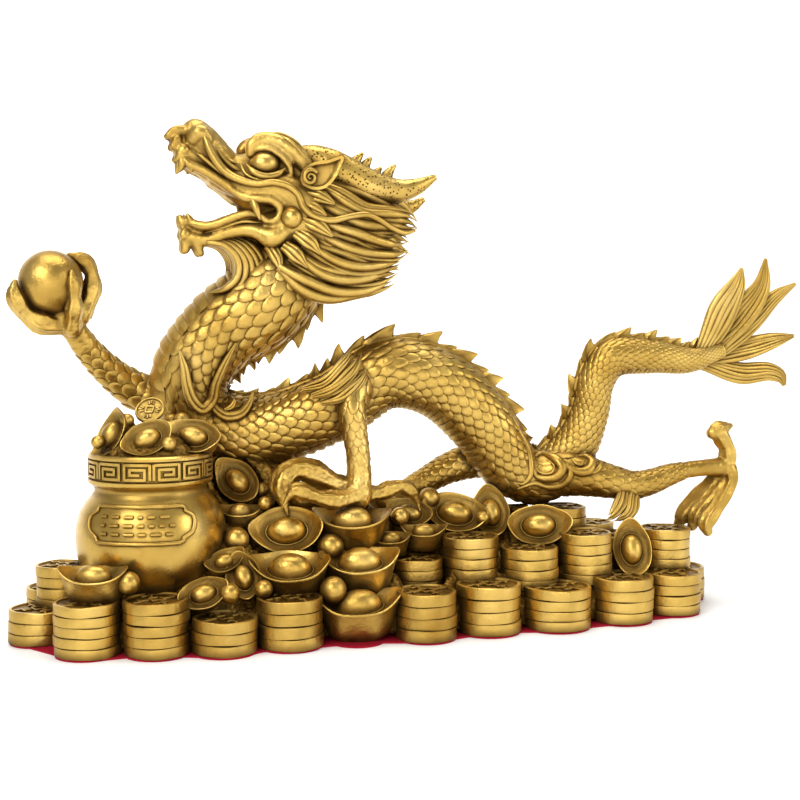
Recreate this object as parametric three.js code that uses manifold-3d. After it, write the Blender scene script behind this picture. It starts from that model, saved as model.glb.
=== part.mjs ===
// A brass dragon that lifts a ball over a bed of coins, boat-shaped ingots, pearls and a treasure pot.
// Millimetres, +Z up. The dragon faces -X, the show side faces -Y, and the felt lies on Z = 0.
// The dragon, the pot and the bed are one casting, parted at the shoulder and the hip of the near side, where
// the two legs are set in. The felt lining under it is the only other piece.

import * as THREE from "three";
import { mergeVertices } from "three/addons/utils/BufferGeometryUtils.js";
import Module from "manifold-3d";

const wasm = await Module();
wasm.setup();

// Driving dimensions
const FELT_THICK = 1.5;
const FELT_MARGIN = 1;
const COIN_THICK = 4.7;
const COIN_TAPER = 1.4;
const COIN_SIDES = 8;
const EDGE_COINS = 4;
const EDGE_SWING = [-76, -26, 26, 76];
const TERRACE = 23;
const RIDGE = { x: -8, y: 2, halfLength: 106, halfWidth: 15, height: 46 };
const POT = { x: -118, y: -1, base: 17, belly: 33.5, rim: 28.5, rimTop: 82, sides: 16 };
const HEAD_Y = 8;
const BALL = { at: [-158.5, 24, 158], radius: 14.5 };
const SHOW_TURN = -18;
const BODY_RINGS = 70;
const SCALE_RELIEF = 0.055;
const PARTING = 0.35;
const NEAR = -1;
const FAR = 1;

// Spine of the dragon from the nape to the root of the tail fin: x, y, z and the body's radius there.
const SPINE = [
  [-46, 8, 168, 18.5],
  [-64, 10, 149, 21],
  [-83, 16, 135, 19],
  [-96, 24, 114, 18],
  [-90, 28, 95, 17],
  [-65, 22, 88, 17],
  [-31, 11, 99, 16.5],
  [-5, 5, 115, 16.5],
  [20, 4, 110, 16.5],
  [42, 4, 91, 16],
  [59, 4, 68, 14],
  [73, 3, 63, 13.5],
  [89, 2, 75, 12.5],
  [98, 0, 94, 10.3],
  [101, -1, 110, 9.8],
  [109, -2, 121, 9.8],
  [131, -4, 122, 8.5],
  [151, -5, 120, 6.5],
  [169, -6, 125, 4.6],
];

// Solids from geometry, without the triangles that shrink to a line, and geometry from solids

function solid(geometry) {
  const bare = geometry.clone();
  bare.deleteAttribute("normal");
  bare.deleteAttribute("uv");
  const merged = mergeVertices(bare, 1e-4);
  const vertProperties = merged.attributes.position.array;
  const corners = merged.index.array;
  const kept = [];
  for (let i = 0; i < corners.length; i += 3) {
    const [a, b, c] = [corners[i], corners[i + 1], corners[i + 2]];
    if (a !== b && b !== c && c !== a) {
      kept.push(a, b, c);
    }
  }
  const triVerts = new Uint32Array(kept);
  return new wasm.Manifold(new wasm.Mesh({ numProp: 3, vertProperties, triVerts }));
}

function geometryOf(joined) {
  const { vertProperties, triVerts } = joined.getMesh();
  const geometry = new THREE.BufferGeometry();
  geometry.setAttribute("position", new THREE.BufferAttribute(vertProperties, 3));
  geometry.setIndex(new THREE.BufferAttribute(triVerts, 1));
  geometry.computeVertexNormals();
  return geometry;
}

function join(solids) {
  let level = solids;
  while (level.length > 1) {
    const next = [];
    for (let i = 0; i < level.length; i += 2) {
      next.push(i + 1 < level.length ? level[i].add(level[i + 1]) : level[i]);
    }
    level = next;
  }
  return level[0];
}

// A closed skin over rings of points. An end is closed by a fan, or by flat triangles where it is flat.
// Raised and sunk points alternate on a scaled skin, and its diagonals run through the sunk ones, so each
// raised point is one diamond scale.
function closedSkin(rings, { scaled = false, flatFoot = false, flatTop = false } = {}) {
  const count = rings[0].length;
  const points = rings.flat();
  const faces = [];
  for (let i = 0; i + 1 < rings.length; i++) {
    for (let j = 0; j < count; j++) {
      const a = i * count + j;
      const b = i * count + ((j + 1) % count);
      const c = a + count;
      const d = b + count;
      if (scaled && (i + j) % 2 === 0) {
        faces.push(a, b, c, b, d, c);
      } else {
        faces.push(a, b, d, a, d, c);
      }
    }
  }
  const close = (ring, first, flat, turned) => {
    const triangles = [];
    if (flat) {
      triangles.push(...THREE.ShapeUtils.triangulateShape(ring, []).map((t) => t.map((k) => first + k)));
    } else {
      const middle = new THREE.Vector3();
      ring.forEach((p) => middle.addScaledVector(p, 1 / count));
      const hub = points.push(middle) - 1;
      ring.forEach((p, j) => triangles.push([hub, first + j, first + ((j + 1) % count)]));
    }
    triangles.forEach(([a, b, c]) => faces.push(...(turned ? [a, c, b] : [a, b, c])));
  };
  close(rings[0], 0, flatFoot, true);
  close(rings[rings.length - 1], (rings.length - 1) * count, flatTop, false);
  const geometry = new THREE.BufferGeometry().setFromPoints(points);
  geometry.setIndex(faces);
  return geometry;
}

// A smooth line through stations of x, y, z and radius, which gives place, radius, heading, side and back.
function spineLine(stations) {
  const path = new THREE.CatmullRomCurve3(stations.map(([x, y, z]) => new THREE.Vector3(x, y, z)));
  const girth = new THREE.CatmullRomCurve3(stations.map(([, , , r]) => new THREE.Vector3(r, 0, 0)));
  path.arcLengthDivisions = 400;
  return {
    length: path.getLength(),
    at(share) {
      const t = path.getUtoTmapping(share);
      const heading = path.getTangent(t);
      const side = new THREE.Vector3(0, 1, 0).addScaledVector(heading, -heading.y).normalize();
      const back = new THREE.Vector3().crossVectors(heading, side);
      return { place: path.getPoint(t), radius: girth.getPoint(t).x, heading, side, back };
    },
  };
}

// A tapering limb, lock or blade along a spine line. wide stretches its section sideways, and room makes it
// that much thicker.
function limb(stations, { sides = 6, rings = 8, wide = 1, relief = 0, room = 0 } = {}) {
  const line = spineLine(stations);
  const loops = [];
  for (let i = 0; i < rings; i++) {
    const { place, radius, side, back } = line.at(i / (rings - 1));
    const loop = [];
    for (let j = 0; j < sides; j++) {
      const angle = (2 * Math.PI * j) / sides;
      const r = radius * (1 + ((i + j) % 2 === 0 ? relief : -relief)) + room;
      const across = side.clone().multiplyScalar(r * wide * Math.cos(angle));
      loop.push(place.clone().add(across).addScaledVector(back, r * Math.sin(angle)));
    }
    loops.push(loop);
  }
  return solid(closedSkin(loops, { scaled: relief > 0 }));
}

function ballAt(x, y, z, radius, sides = 6) {
  return solid(new THREE.SphereGeometry(radius, sides, sides - 2).translate(x, y, z));
}

// A spike from a foot towards a tip, with a flattened foot.
function spike(foot, tip, halfLength, halfThick, along) {
  const rise = new THREE.Vector3().subVectors(tip, foot);
  const side = new THREE.Vector3().crossVectors(rise, along).normalize();
  const corner = (f, s) => foot.clone().addScaledVector(along, f).addScaledVector(side, s);
  const corners = [
    corner(halfLength, 0),
    corner(0, halfThick),
    corner(-halfLength, 0),
    corner(0, -halfThick),
  ];
  const point = corners.map((p) => p.clone().lerp(tip, 0.96));
  return solid(closedSkin([corners, point]));
}

// Treasure bed

// A stack of coins: each coin tapers a little towards its top, so every joint shows as a step.
function coinStack([x, y, base, coins, radius]) {
  const profile = [new THREE.Vector2(0, base)];
  for (let i = 0; i < coins; i++) {
    const foot = base + i * COIN_THICK;
    profile.push(new THREE.Vector2(radius, foot));
    profile.push(new THREE.Vector2(radius - COIN_TAPER, foot + COIN_THICK));
  }
  profile.push(new THREE.Vector2(0, base + coins * COIN_THICK));
  return solid(new THREE.LatheGeometry(profile, COIN_SIDES).rotateX(Math.PI / 2).translate(x, y, 0));
}

// Coin stacks around the edge of the bed, from the pot's end along the front and home along the back:
// x, y, radius and height. The low one carries the big ingot at the front. The back is plainer.
const FLOOR = FELT_THICK;
const EDGE_STACKS = [
  [-168, -4, 13, 14],
  [-150, -33, 14, 21.5],
  [-122, -41, 14, 22.5],
  [-94, -47, 14, 14],
  [-65, -45, 14.5, 20.5],
  [-35, -46, 14, 4],
  [-4, -50, 13.5, 20.5],
  [27, -47, 14.5, 21],
  [60, -48, 15.5, 18],
  [95, -45, 14.5, 20],
  [125, -36, 14.5, 18.5],
  [144, -8, 14, 15],
  [136, 20, 15, 18],
  [112, 38, 15, 16],
  [82, 45, 15.5, 19],
  [51, 47, 15.5, 16],
  [20, 48, 15.5, 19],
  [-11, 48, 15.5, 16],
  [-42, 48, 15.5, 19],
  [-73, 47, 15.5, 16],
  [-104, 43, 15.5, 19],
  [-134, 36, 15.5, 16],
  [-158, 22, 14, 18],
];

// One loop around the edge, with a few points on the outer arc of every stack.
function edgeLoop(reach, level) {
  const count = EDGE_STACKS.length;
  return EDGE_STACKS.flatMap(([x, y, radius, height], i) => {
    const [beforeX, beforeY] = EDGE_STACKS[(i + count - 1) % count];
    const [afterX, afterY] = EDGE_STACKS[(i + 1) % count];
    const outward = Math.atan2(beforeX - afterX, afterY - beforeY);
    return EDGE_SWING.map((swing) => {
      const angle = outward + THREE.MathUtils.degToRad(swing);
      const r = reach(radius);
      return new THREE.Vector3(x + r * Math.cos(angle), y + r * Math.sin(angle), level(height));
    });
  });
}

// The bed is one skin: coins up the edge, coin tops, a terrace behind them and a ridge along the middle.
// From the tops inward every stack has a single point.
function bed() {
  const rings = [];
  for (let i = 0; i < EDGE_COINS; i++) {
    rings.push(edgeLoop((r) => r, (h) => FLOOR + (h * i) / EDGE_COINS));
    rings.push(edgeLoop((r) => r - COIN_TAPER, (h) => FLOOR + (h * (i + 1)) / EDGE_COINS));
  }
  const tops = edgeLoop(() => 0, (h) => FLOOR + h);
  const terrace = tops.map(({ x, y, z }) => new THREE.Vector3(x * 0.86, y * 0.6, Math.max(z, TERRACE)));
  rings.push(tops, terrace);
  const ridge = rings[0].map((p, j) => {
    const stack = Math.floor(j / EDGE_SWING.length);
    const angle = Math.PI + (2 * Math.PI * stack) / EDGE_STACKS.length;
    const x = RIDGE.x + RIDGE.halfLength * Math.cos(angle);
    const y = RIDGE.y + RIDGE.halfWidth * Math.sin(angle);
    return new THREE.Vector3(x, y, RIDGE.height);
  });
  rings.push(ridge);
  return solid(closedSkin(rings, { flatFoot: true }));
}

// Coin stacks that stand higher on the bed: x, y, base, coins and radius.
const UPPER_STACKS = [
  [-160, 5, 12.5, 3, 12],
  [0, -26, 18, 3, 11.5],
  [25.5, -27, 27, 3, 13],
  [52.5, -33, 21.5, 3, 13.5],
  [82, -31, 26.5, 3, 13],
  [125, -20, 16.5, 4, 12.5],
  [80, -7, 35.5, 3, 13],
];

// Plain heap that carries the low bow of the body.
function hillock() {
  const profile = [[0, 36], [21, 36], [17, 62], [8, 75], [0, 77]].map(([r, z]) => new THREE.Vector2(r, z));
  return solid(new THREE.LatheGeometry(profile, 9).rotateX(Math.PI / 2).translate(-60, 21, 0));
}

// A boat-shaped ingot: an oval hull with raised prows and a dome in its trough. Its size is its length.
const BIG_INGOT = 26;
const INGOT_RINGS = [
  { long: 0.32, broad: 0.18, high: 0 },
  { long: 0.5, broad: 0.3, high: 0.2, prow: 0.15 },
  { long: 0.32, broad: 0.21, high: 0.15, prow: 0.04 },
  { long: 0.17, broad: 0.12, high: 0.29 },
];

function ingot({ at, length, turn = SHOW_TURN, tilt = 20, spin = 0 }) {
  const sides = length > BIG_INGOT ? 8 : 6;
  const rings = INGOT_RINGS.map(({ long, broad, high, prow = 0 }) => {
    const ring = [];
    for (let j = 0; j < sides; j++) {
      const angle = (2 * Math.PI * j) / sides;
      const lift = high - 0.2 + prow * Math.cos(angle) ** 4;
      ring.push(new THREE.Vector3(long * Math.cos(angle), broad * Math.sin(angle), lift));
    }
    return ring;
  });
  const geometry = closedSkin(rings).scale(length, length, length);
  geometry.rotateZ(THREE.MathUtils.degToRad(spin));
  geometry.rotateX(THREE.MathUtils.degToRad(tilt));
  geometry.rotateZ(THREE.MathUtils.degToRad(turn));
  return solid(geometry.translate(...at));
}

const INGOTS = [
  { at: [-147, -32, 27], length: 27, tilt: 12 },
  { at: [-102, -42, 20], length: 20, tilt: 55, spin: 22 },
  { at: [-82, -34, 28], length: 23, tilt: 62, spin: 105 },
  { at: [-59, -15, 46], length: 33, tilt: 58, spin: 4 },
  { at: [-62, -34, 30], length: 34, tilt: 22 },
  { at: [-29, -16, 47], length: 33, tilt: 14 },
  { at: [-30, -34, 29], length: 35, tilt: 18, spin: 6 },
  { at: [-34, -48, 13], length: 36, tilt: 16, spin: 10 },
  { at: [2, -8, 49], length: 22, tilt: 50, spin: -20 },
  { at: [25, -8, 49], length: 32, tilt: 48, spin: -14 },
  { at: [44, -6, 48], length: 24, tilt: 60, spin: 100 },
  { at: [62, -26, 44], length: 29, tilt: 62, spin: 2 },
  { at: [105.5, -35, 30], length: 26, tilt: 68, spin: 92 },
  { at: [-77, 8, 66], length: 24, tilt: 66, spin: -46 },
  { at: [-136, -5, 91], length: 23, tilt: 62, spin: 75, turn: -60 },
  { at: [-123, -20, 89], length: 23, tilt: 58, spin: 30 },
  { at: [-102, -14, 89], length: 23, tilt: 56, spin: -12 },
  { at: [-28, 34, 25], length: 32, tilt: 26, turn: 176 },
  { at: [36, 34, 24], length: 32, tilt: 30, turn: 188 },
];

// Pearls: x, y, z and radius.
const PEARLS = [
  [-133, -38, 26, 4.7],
  [-84, -16, 42, 5],
  [-91, -44, 17.5, 3.8],
  [-74, -43, 20.5, 4],
  [-44, -23, 38, 5.6],
  [-46, -45, 21, 5.2],
  [15, 1, 49, 4.8],
  [-108, 2, 94, 3.6],
];

// Treasure pot: a round belly, a short neck and an upright band, filled to the rim.
function pot() {
  const { x, y, base, belly, rim, rimTop, sides } = POT;
  const bandFoot = rimTop - 12.5;
  const profile = [
    [0, base],
    [belly * 0.62, base],
    [belly * 0.86, base + 9],
    [belly, base + 28],
    [belly * 0.93, base + 39],
    [rim - 3.5, bandFoot - 4],
    [rim - 2.5, bandFoot - 1.5],
    [rim, bandFoot],
    [rim, rimTop],
    [rim - 4, rimTop + 1],
    [rim * 0.5, rimTop + 12],
    [0, rimTop + 16],
  ].map(([r, z]) => new THREE.Vector2(r, z));
  return new THREE.LatheGeometry(profile, sides).rotateX(Math.PI / 2).translate(x, y, 0);
}

// The plaque is the skin of a slightly larger pot, cut out by a cartouche seen from the show side.
function plaque() {
  const width = 47;
  const height = 17;
  const notch = 4;
  const outline = new THREE.Shape();
  outline.moveTo(-width / 2 + notch, -height / 2);
  outline.lineTo(width / 2 - notch, -height / 2);
  outline.lineTo(width / 2, -height / 2 + notch);
  outline.lineTo(width / 2, height / 2 - notch);
  outline.lineTo(width / 2 - notch, height / 2);
  outline.lineTo(-width / 2 + notch, height / 2);
  outline.lineTo(-width / 2, height / 2 - notch);
  outline.lineTo(-width / 2, -height / 2 + notch);
  const cutter = new THREE.ExtrudeGeometry(outline, { depth: POT.belly + 8, bevelEnabled: false });
  cutter.rotateX(Math.PI / 2).rotateZ(THREE.MathUtils.degToRad(SHOW_TURN));
  cutter.translate(POT.x, POT.y, POT.base + 30);
  const proud = 1.045;
  const larger = pot().translate(-POT.x, -POT.y, -POT.base - 30);
  larger.scale(proud, proud, proud).translate(POT.x, POT.y, POT.base + 30);
  return solid(larger).intersect(solid(cutter));
}

// Old-style coin with a square hole that stands on the heap in the pot.
function heapCoin() {
  const face = new THREE.Shape().absarc(0, 0, 7, 0, 2 * Math.PI);
  const hole = new THREE.Path();
  const half = 1.6;
  hole.moveTo(-half, -half).lineTo(-half, half).lineTo(half, half).lineTo(half, -half).lineTo(-half, -half);
  face.holes.push(hole);
  const coin = new THREE.ExtrudeGeometry(face, { depth: 2.4, bevelEnabled: false, curveSegments: 6 });
  coin.rotateX(THREE.MathUtils.degToRad(60)).rotateZ(THREE.MathUtils.degToRad(SHOW_TURN));
  return solid(coin.translate(-117, 2, 99));
}

function treasure() {
  const stacks = UPPER_STACKS.map(coinStack);
  const pearls = PEARLS.map((pearl) => ballAt(...pearl));
  return [bed(), hillock(), ...stacks, ...INGOTS.map(ingot), ...pearls, solid(pot()), plaque(), heapCoin()];
}

// Dragon

// The body's section, in degrees from its far side over its back. Three close points carry the back fin.
const BODY_SECTION = [0, 45, 82, 90, 98, 135, 180, 225, 270, 315];
const FIN_CREST = 90;

// The scaled body with a toothed fin along its back that leans towards the tail. room makes it thicker.
function body(room = 0) {
  const line = spineLine(SPINE);
  const loops = [];
  for (let i = 0; i < BODY_RINGS; i++) {
    const { place, radius, heading, side, back } = line.at(i / (BODY_RINGS - 1));
    const fin = 0.62 * Math.min(radius, 15) * (i % 2 ? 0.25 : 1);
    const ends = i === 0 || i === BODY_RINGS - 1;
    const loop = BODY_SECTION.map((degrees, j) => {
      const angle = THREE.MathUtils.degToRad(degrees);
      const crest = degrees === FIN_CREST;
      const onFin = Math.abs(degrees - FIN_CREST) < 10;
      const wave = onFin ? 0 : ((i + j) % 2 ? -SCALE_RELIEF : SCALE_RELIEF);
      const r = radius * (1 + wave) + (crest && !ends ? fin : 0) + room;
      const point = place.clone().addScaledVector(side, r * Math.cos(angle));
      point.addScaledVector(back, r * Math.sin(angle));
      return crest && !ends ? point.addScaledVector(heading, fin * 0.55) : point;
    });
    loops.push(loop);
  }
  return solid(closedSkin(loops, { scaled: true }));
}

// A paw is a set of toes, each a limb that ends in a claw.
function toes(lists, room = 0) {
  return lists.map((stations) => limb(stations, { sides: 4, rings: 5, room }));
}

function ballArm() {
  const arm = [
    [-97, 30, 104, 12],
    [-118, 38, 107, 9.5],
    [-129, 36, 114.5, 7.6],
    [-137, 33, 122, 6.8],
    [-143, 30, 129, 6.1],
    [-147, 27, 135, 5.6],
    [-155, 24.5, 146, 7],
  ];
  const fingers = [
    [
      [-150, 24, 138, 4.5],
      [-161, 22, 138.5, 4.2],
      [-172, 20, 143, 3.8],
      [-177, 18, 149, 3.2],
      [-175, 18, 155, 1.6],
    ],
    [
      [-150, 20, 138, 4],
      [-151, 11, 143, 3.6],
      [-152, 8, 150, 3.2],
      [-153, 9, 159, 1.6],
    ],
    [
      [-148, 28, 140, 4.4],
      [-143, 31, 149, 4],
      [-138, 32, 158, 3.4],
      [-139, 32, 166, 2.9],
      [-148, 28, 170, 1.6],
    ],
  ];
  const scaled = limb(arm, { sides: 6, rings: 9, relief: 0.05 });
  return [scaled, ...toes(fingers), ballAt(...BALL.at, BALL.radius, 10)];
}

function frontLeg(room = 0) {
  const leg = [
    [-22, 1, 110, 14],
    [-25.5, -8, 98, 9.4],
    [-27, -10, 85, 7.4],
    [-25.5, -12, 72, 7],
    [-25, -12, 61, 7.4],
    [-26, -13, 54, 7],
  ];
  const claws = [
    [
      [-24, -14, 57, 4.6],
      [-44, -20, 58.5, 3.9],
      [-53, -22, 64, 3.4],
      [-59, -22, 61, 1.6],
    ],
    [
      [-27, -10, 60, 4.8],
      [-44, -6, 70, 5.4],
      [-53, -6, 76, 5.4],
      [-62, -7, 69, 4.2],
      [-60.5, -9, 58, 1.6],
    ],
    [
      [-24, -12, 58, 4.4],
      [-9, -10, 63, 3.6],
      [-1, -10, 64, 2.6],
      [4, -10, 60, 1.4],
    ],
  ];
  const tuft = [
    [
      [-48, -5, 107, 2],
      [-36, -8, 113, 4],
      [-26, -8, 122, 3.4],
      [-21, -5, 130, 0.7],
    ],
    [
      [-42, -7, 103, 2],
      [-31, -10, 109, 4],
      [-22, -10, 118, 3.2],
      [-16, -7, 126, 0.7],
    ],
  ];
  const scaled = limb(leg, { sides: 6, rings: 8, relief: 0.05, room });
  const locks = tuft.map((lock) => limb(lock, { sides: 4, rings: 6, wide: 0.6, room }));
  return join([scaled, ...toes(claws, room), ...locks]);
}

function hindLeg(room = 0) {
  const leg = [
    [74, -2, 66, 14],
    [95, -10, 64.5, 11.2],
    [109, -14, 61.5, 8.8],
    [117, -16, 60, 7.6],
    [127.5, -18, 62.5, 6.6],
    [141, -19, 66, 5],
    [152, -20, 66.5, 4.4],
    [164, -20, 67, 5.4],
  ];
  const claws = [
    [
      [163, -20, 66, 4.6],
      [166.5, -20, 76, 4],
      [160, -20, 85, 4.4],
      [153, -20, 85.5, 2.2],
    ],
    [
      [163, -21, 67, 4.8],
      [167.5, -24, 60, 4.2],
      [161.5, -27, 49.5, 4],
      [152, -28, 43, 3.6],
      [147, -28, 37, 2],
    ],
    [
      [164, -18, 66, 4.6],
      [161, -12, 59, 4.6],
      [152, -10, 50.5, 4.6],
      [144, -10, 39, 2.4],
    ],
  ];
  const hock = [
    [111, -18, 57, 4.4],
    [103, -22, 48, 3.4],
    [95, -24, 45.5, 0.8],
  ];
  const scaled = limb(leg, { sides: 6, rings: 10, relief: 0.05, room });
  return join([scaled, ...toes([hock, ...claws], room)]);
}

// The far hind leg reaches forward along the bed.
function farLeg() {
  const leg = [
    [64, 12, 72, 13],
    [48, 18, 71, 9.4],
    [32.5, 20, 67, 7.8],
    [19.5, 20, 61, 6.6],
    [7, 18, 56, 5.4],
  ];
  const claws = [
    [
      [10, 18, 57, 4.4],
      [-4, 15, 57, 3.4],
      [-11, 14, 52, 1.4],
    ],
    [
      [10, 19, 57, 4.4],
      [-3, 25, 54, 3.4],
      [-10, 27, 48, 1.4],
    ],
  ];
  return [limb(leg, { sides: 6, rings: 7, relief: 0.05 }), ...toes(claws)];
}

// Tail fin: a fan of flat blades from the end of the tail.
function tailFin() {
  const thin = 0.3;
  const blades = [
    [
      [158, -6, 121, 3],
      [167, -9, 143, 7.4],
      [174, -11, 157, 5],
      [177.5, -10, 165, 0.8],
    ],
    [
      [162, -6, 121, 4],
      [180, -8, 144, 7],
      [190, -9, 158, 5],
      [192.5, -8, 170, 0.8],
    ],
    [
      [164, -6, 122, 4],
      [186, -6, 139, 5.6],
      [200, -5, 151, 3.4],
      [212.5, -4, 158, 0.8],
    ],
    [
      [163, -5, 122, 4],
      [188, -3, 126.5, 5.6],
      [202, -2, 129, 3.6],
      [214.5, -2, 131, 0.8],
    ],
    [
      [160, -5, 121, 4],
      [184, -1, 112, 4.6],
      [202, 1, 112, 4],
      [211, 2, 107, 1.2],
    ],
  ];
  return blades.map((stations) => limb(stations, { sides: 4, rings: 6, wide: thin }));
}

// Stations of a head form given beside the head's middle: x, distance from the middle, z and radius.
function beside(hand, stations) {
  return stations.map(([x, off, z, r]) => [x, HEAD_Y + hand * off, z, r]);
}

function skull() {
  const upper = [
    [-106, 0, 219, 4.5],
    [-97, 0, 221, 8.8],
    [-85, 0, 213, 9],
    [-74, 0, 205, 11],
    [-62, 0, 206, 15],
    [-48, 0, 202, 17],
    [-32, 0, 191, 16],
    [-12, 0, 178, 9],
  ];
  const jaw = [
    [-99, 0, 181, 5.5],
    [-90, 0, 179.5, 4.6],
    [-78, 0, 184, 4.2],
    [-68, 0, 185, 6],
    [-56, 0, 182, 9],
    [-46, 0, 186, 11],
  ];
  return [
    limb(beside(NEAR, upper), { sides: 8, rings: 11 }),
    limb(beside(NEAR, jaw), { sides: 6, rings: 8, wide: 1.35 }),
  ];
}

// Brow, eye, ear, horn, whisker, nostril and mane of one side.
function faceSide(hand) {
  const droop = hand === FAR ? 9 : 0;
  const reach = hand === FAR ? 7 : 0;
  const brow = [
    [-72, 7, 217, 2.6],
    [-64, 10, 222, 4.4],
    [-54, 12, 219, 4.6],
    [-46, 16, 210, 2.4],
  ];
  const ear = [
    [-50, 14, 204, 3],
    [-43, 18, 205, 5.4],
    [-34, 22, 213, 0.8],
  ];
  const horn = [
    [-48, 7, 216, 5.4],
    [-34, 12, 211, 6.2],
    [-23, 14, 206 - droop * 0.3, 6],
    [-10, 16, 200 - droop * 0.6, 5.5],
    [2 + reach, 17, 201 - droop, 4.2],
    [15 + reach, 17, 207 - droop, 0.9],
  ];
  const whisker = [
    [-90, 9, 218, 1.6],
    [-74, 12.5, 205, 2],
    [-62, 16.5, 202.5, 2],
    [-54, 20, 199, 2],
    [-48, 23, 190, 2],
    [-37, 24, 186, 2],
    [-20, 24, 187.5, 1.8],
    [-8, 22, 182, 1.6],
    [1, 21, 182.5, 0.8],
  ];
  const locks = [
    [
      [-44, 13, 197, 5],
      [-22, 17, 191, 5.6],
      [-6, 16, 185, 4],
      [8.5, 14, 177, 0.8],
    ],
    [
      [-46, 14, 192, 5],
      [-27, 19, 181, 5.6],
      [-12, 17, 174, 4],
      [-0.5, 15, 172, 0.8],
    ],
    [
      [-50, 15, 187, 5],
      [-33, 20, 173, 5.4],
      [-17, 17, 167, 4],
      [-1, 14, 169, 0.8],
    ],
    [
      [-56, 13, 179, 5],
      [-42, 18, 162, 6],
      [-25, 16, 156, 5],
      [-3, 13, 161, 0.8],
    ],
  ];
  const shown = hand === NEAR ? locks : locks.filter((lock, i) => i % 2 === 0);
  const y = (off) => HEAD_Y + hand * off;
  const spikes = hand === NEAR ? [-22, -16, -6] : [];
  const hornSpikes = spikes.map((x, i) => {
    const foot = new THREE.Vector3(x, y(14), 209 - i * 3.2 - droop * 0.4);
    const tip = foot.clone().add(new THREE.Vector3(2.5, 0, 7.5));
    return spike(foot, tip, 3, 1.8, new THREE.Vector3(1, 0, 0));
  });
  return [
    limb(beside(hand, brow), { sides: 4, rings: 5 }),
    limb(beside(hand, ear), { sides: 4, rings: 4, wide: 0.5 }),
    limb(beside(hand, horn), { sides: 6, rings: 7 }),
    limb(beside(hand, whisker), { sides: 3, rings: 12 }),
    ...shown.map((stations) => limb(beside(hand, stations), { sides: 4, rings: 5, wide: 0.7 })),
    ...hornSpikes,
    ballAt(-66, y(10.5), 211, 5.6),
    ballAt(-96, y(6), 224.5, 6.6),
  ];
}

// Beard: bowed locks from under the jaw to the throat.
function beard() {
  const strands = [0, 2].map((i) => [
    [-87 + 4 * i, 0, 177 + i, 2.6],
    [-80 + 4.5 * i, 0, 172, 3.4],
    [-77.5 + 4.5 * i, 0, 164, 3.6],
    [-82 + 4 * i, 0, 157.5, 3.4],
    [-89 + 3 * i, 0, 154, 1.6],
  ]);
  return strands.map((stations) => limb(beside(NEAR, stations), { sides: 4, rings: 6, wide: 3 }));
}

function dragon() {
  const head = [...skull(), ...faceSide(NEAR), ...faceSide(FAR), ...beard()];
  return [body(), ...head, ...ballArm(), ...farLeg(), ...tailFin()];
}

// Felt lining: the outline of the bed with a narrow margin.
function feltLining() {
  const loop = (level) => edgeLoop((r) => r + FELT_MARGIN, () => level);
  return closedSkin([loop(0), loop(FELT_THICK)], { flatFoot: true, flatTop: true });
}

const brass = new THREE.MeshStandardMaterial({ color: 0xb8912f, roughness: 0.38, metalness: 1 });
const redFelt = new THREE.MeshStandardMaterial({ color: 0xa3142a, roughness: 0.95, metalness: 0 });

// The near legs end on the body's skin, and the rest of the casting is cut back around them, with a hair-thin
// parting line all round.
const legRoom = join([frontLeg(PARTING), hindLeg(PARTING)]).subtract(body(PARTING / 2));
const rest = join([...dragon(), ...treasure()]).subtract(legRoom);

function brassPiece(name, shape) {
  const piece = new THREE.Mesh(geometryOf(shape), brass);
  piece.name = name;
  return piece;
}

const pieces = [
  brassPiece("brass_casting", rest),
  brassPiece("front_leg", frontLeg().subtract(body(PARTING))),
  brassPiece("hind_leg", hindLeg().subtract(body(PARTING))),
];
const felt = new THREE.Mesh(feltLining(), redFelt);
felt.name = "felt_lining";

// The part's origin is the middle of its underside.
const sculpture = new THREE.Group();
sculpture.add(...pieces, felt);
const extent = new THREE.Box3().setFromObject(sculpture);
sculpture.position.set(-(extent.min.x + extent.max.x) / 2, -(extent.min.y + extent.max.y) / 2, 0);

export default sculpture;
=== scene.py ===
# %% [markdown]
# # A brass dragon over a bed of treasure
# The CAD part is a faceted casting with true outlines. This lesson dresses it with the carving of the
# real one: scales, mane, claws, coins, ingots and a pot, all in cast brass with brown in the hollows. The
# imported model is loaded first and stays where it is, so every new piece is made in the same frame.

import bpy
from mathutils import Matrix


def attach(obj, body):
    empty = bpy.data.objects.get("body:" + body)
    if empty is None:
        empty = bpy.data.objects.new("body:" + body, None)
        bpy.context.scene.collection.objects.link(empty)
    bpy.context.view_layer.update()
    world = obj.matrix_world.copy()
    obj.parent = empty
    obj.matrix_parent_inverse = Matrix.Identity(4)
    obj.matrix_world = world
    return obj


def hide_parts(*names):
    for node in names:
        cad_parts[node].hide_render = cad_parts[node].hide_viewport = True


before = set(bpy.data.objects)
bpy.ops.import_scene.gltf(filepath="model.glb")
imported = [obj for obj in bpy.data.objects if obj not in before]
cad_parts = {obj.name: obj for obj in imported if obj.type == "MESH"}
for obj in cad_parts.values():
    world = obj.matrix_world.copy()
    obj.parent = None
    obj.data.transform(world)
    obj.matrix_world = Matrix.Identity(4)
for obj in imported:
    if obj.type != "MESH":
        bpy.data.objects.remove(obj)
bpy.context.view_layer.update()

# %% [markdown]
# ## Drawing units
# The sculpture is drawn in millimetres around the middle of its base, with the head towards -X and the
# show side towards -Y. One small helper moves drawn points into the frame, in metres. A seeded source of
# chance keeps hand-made unevenness the same on every run.

# %% Units and helpers
import math
import random

import bpy
import numpy as np
from mathutils import Matrix, Vector
from mathutils.bvhtree import BVHTree

MM = 0.001
SHIFT = np.array([-16.645, 0.094, 0.0])
SHOW_TURN = -18
NEAR, FAR = -1, 1
chance = random.Random(7)


def in_frame(points):
    """Drawn millimetres as metres in the frame."""
    return (np.asarray(points, float) + SHIFT) * MM


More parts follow.
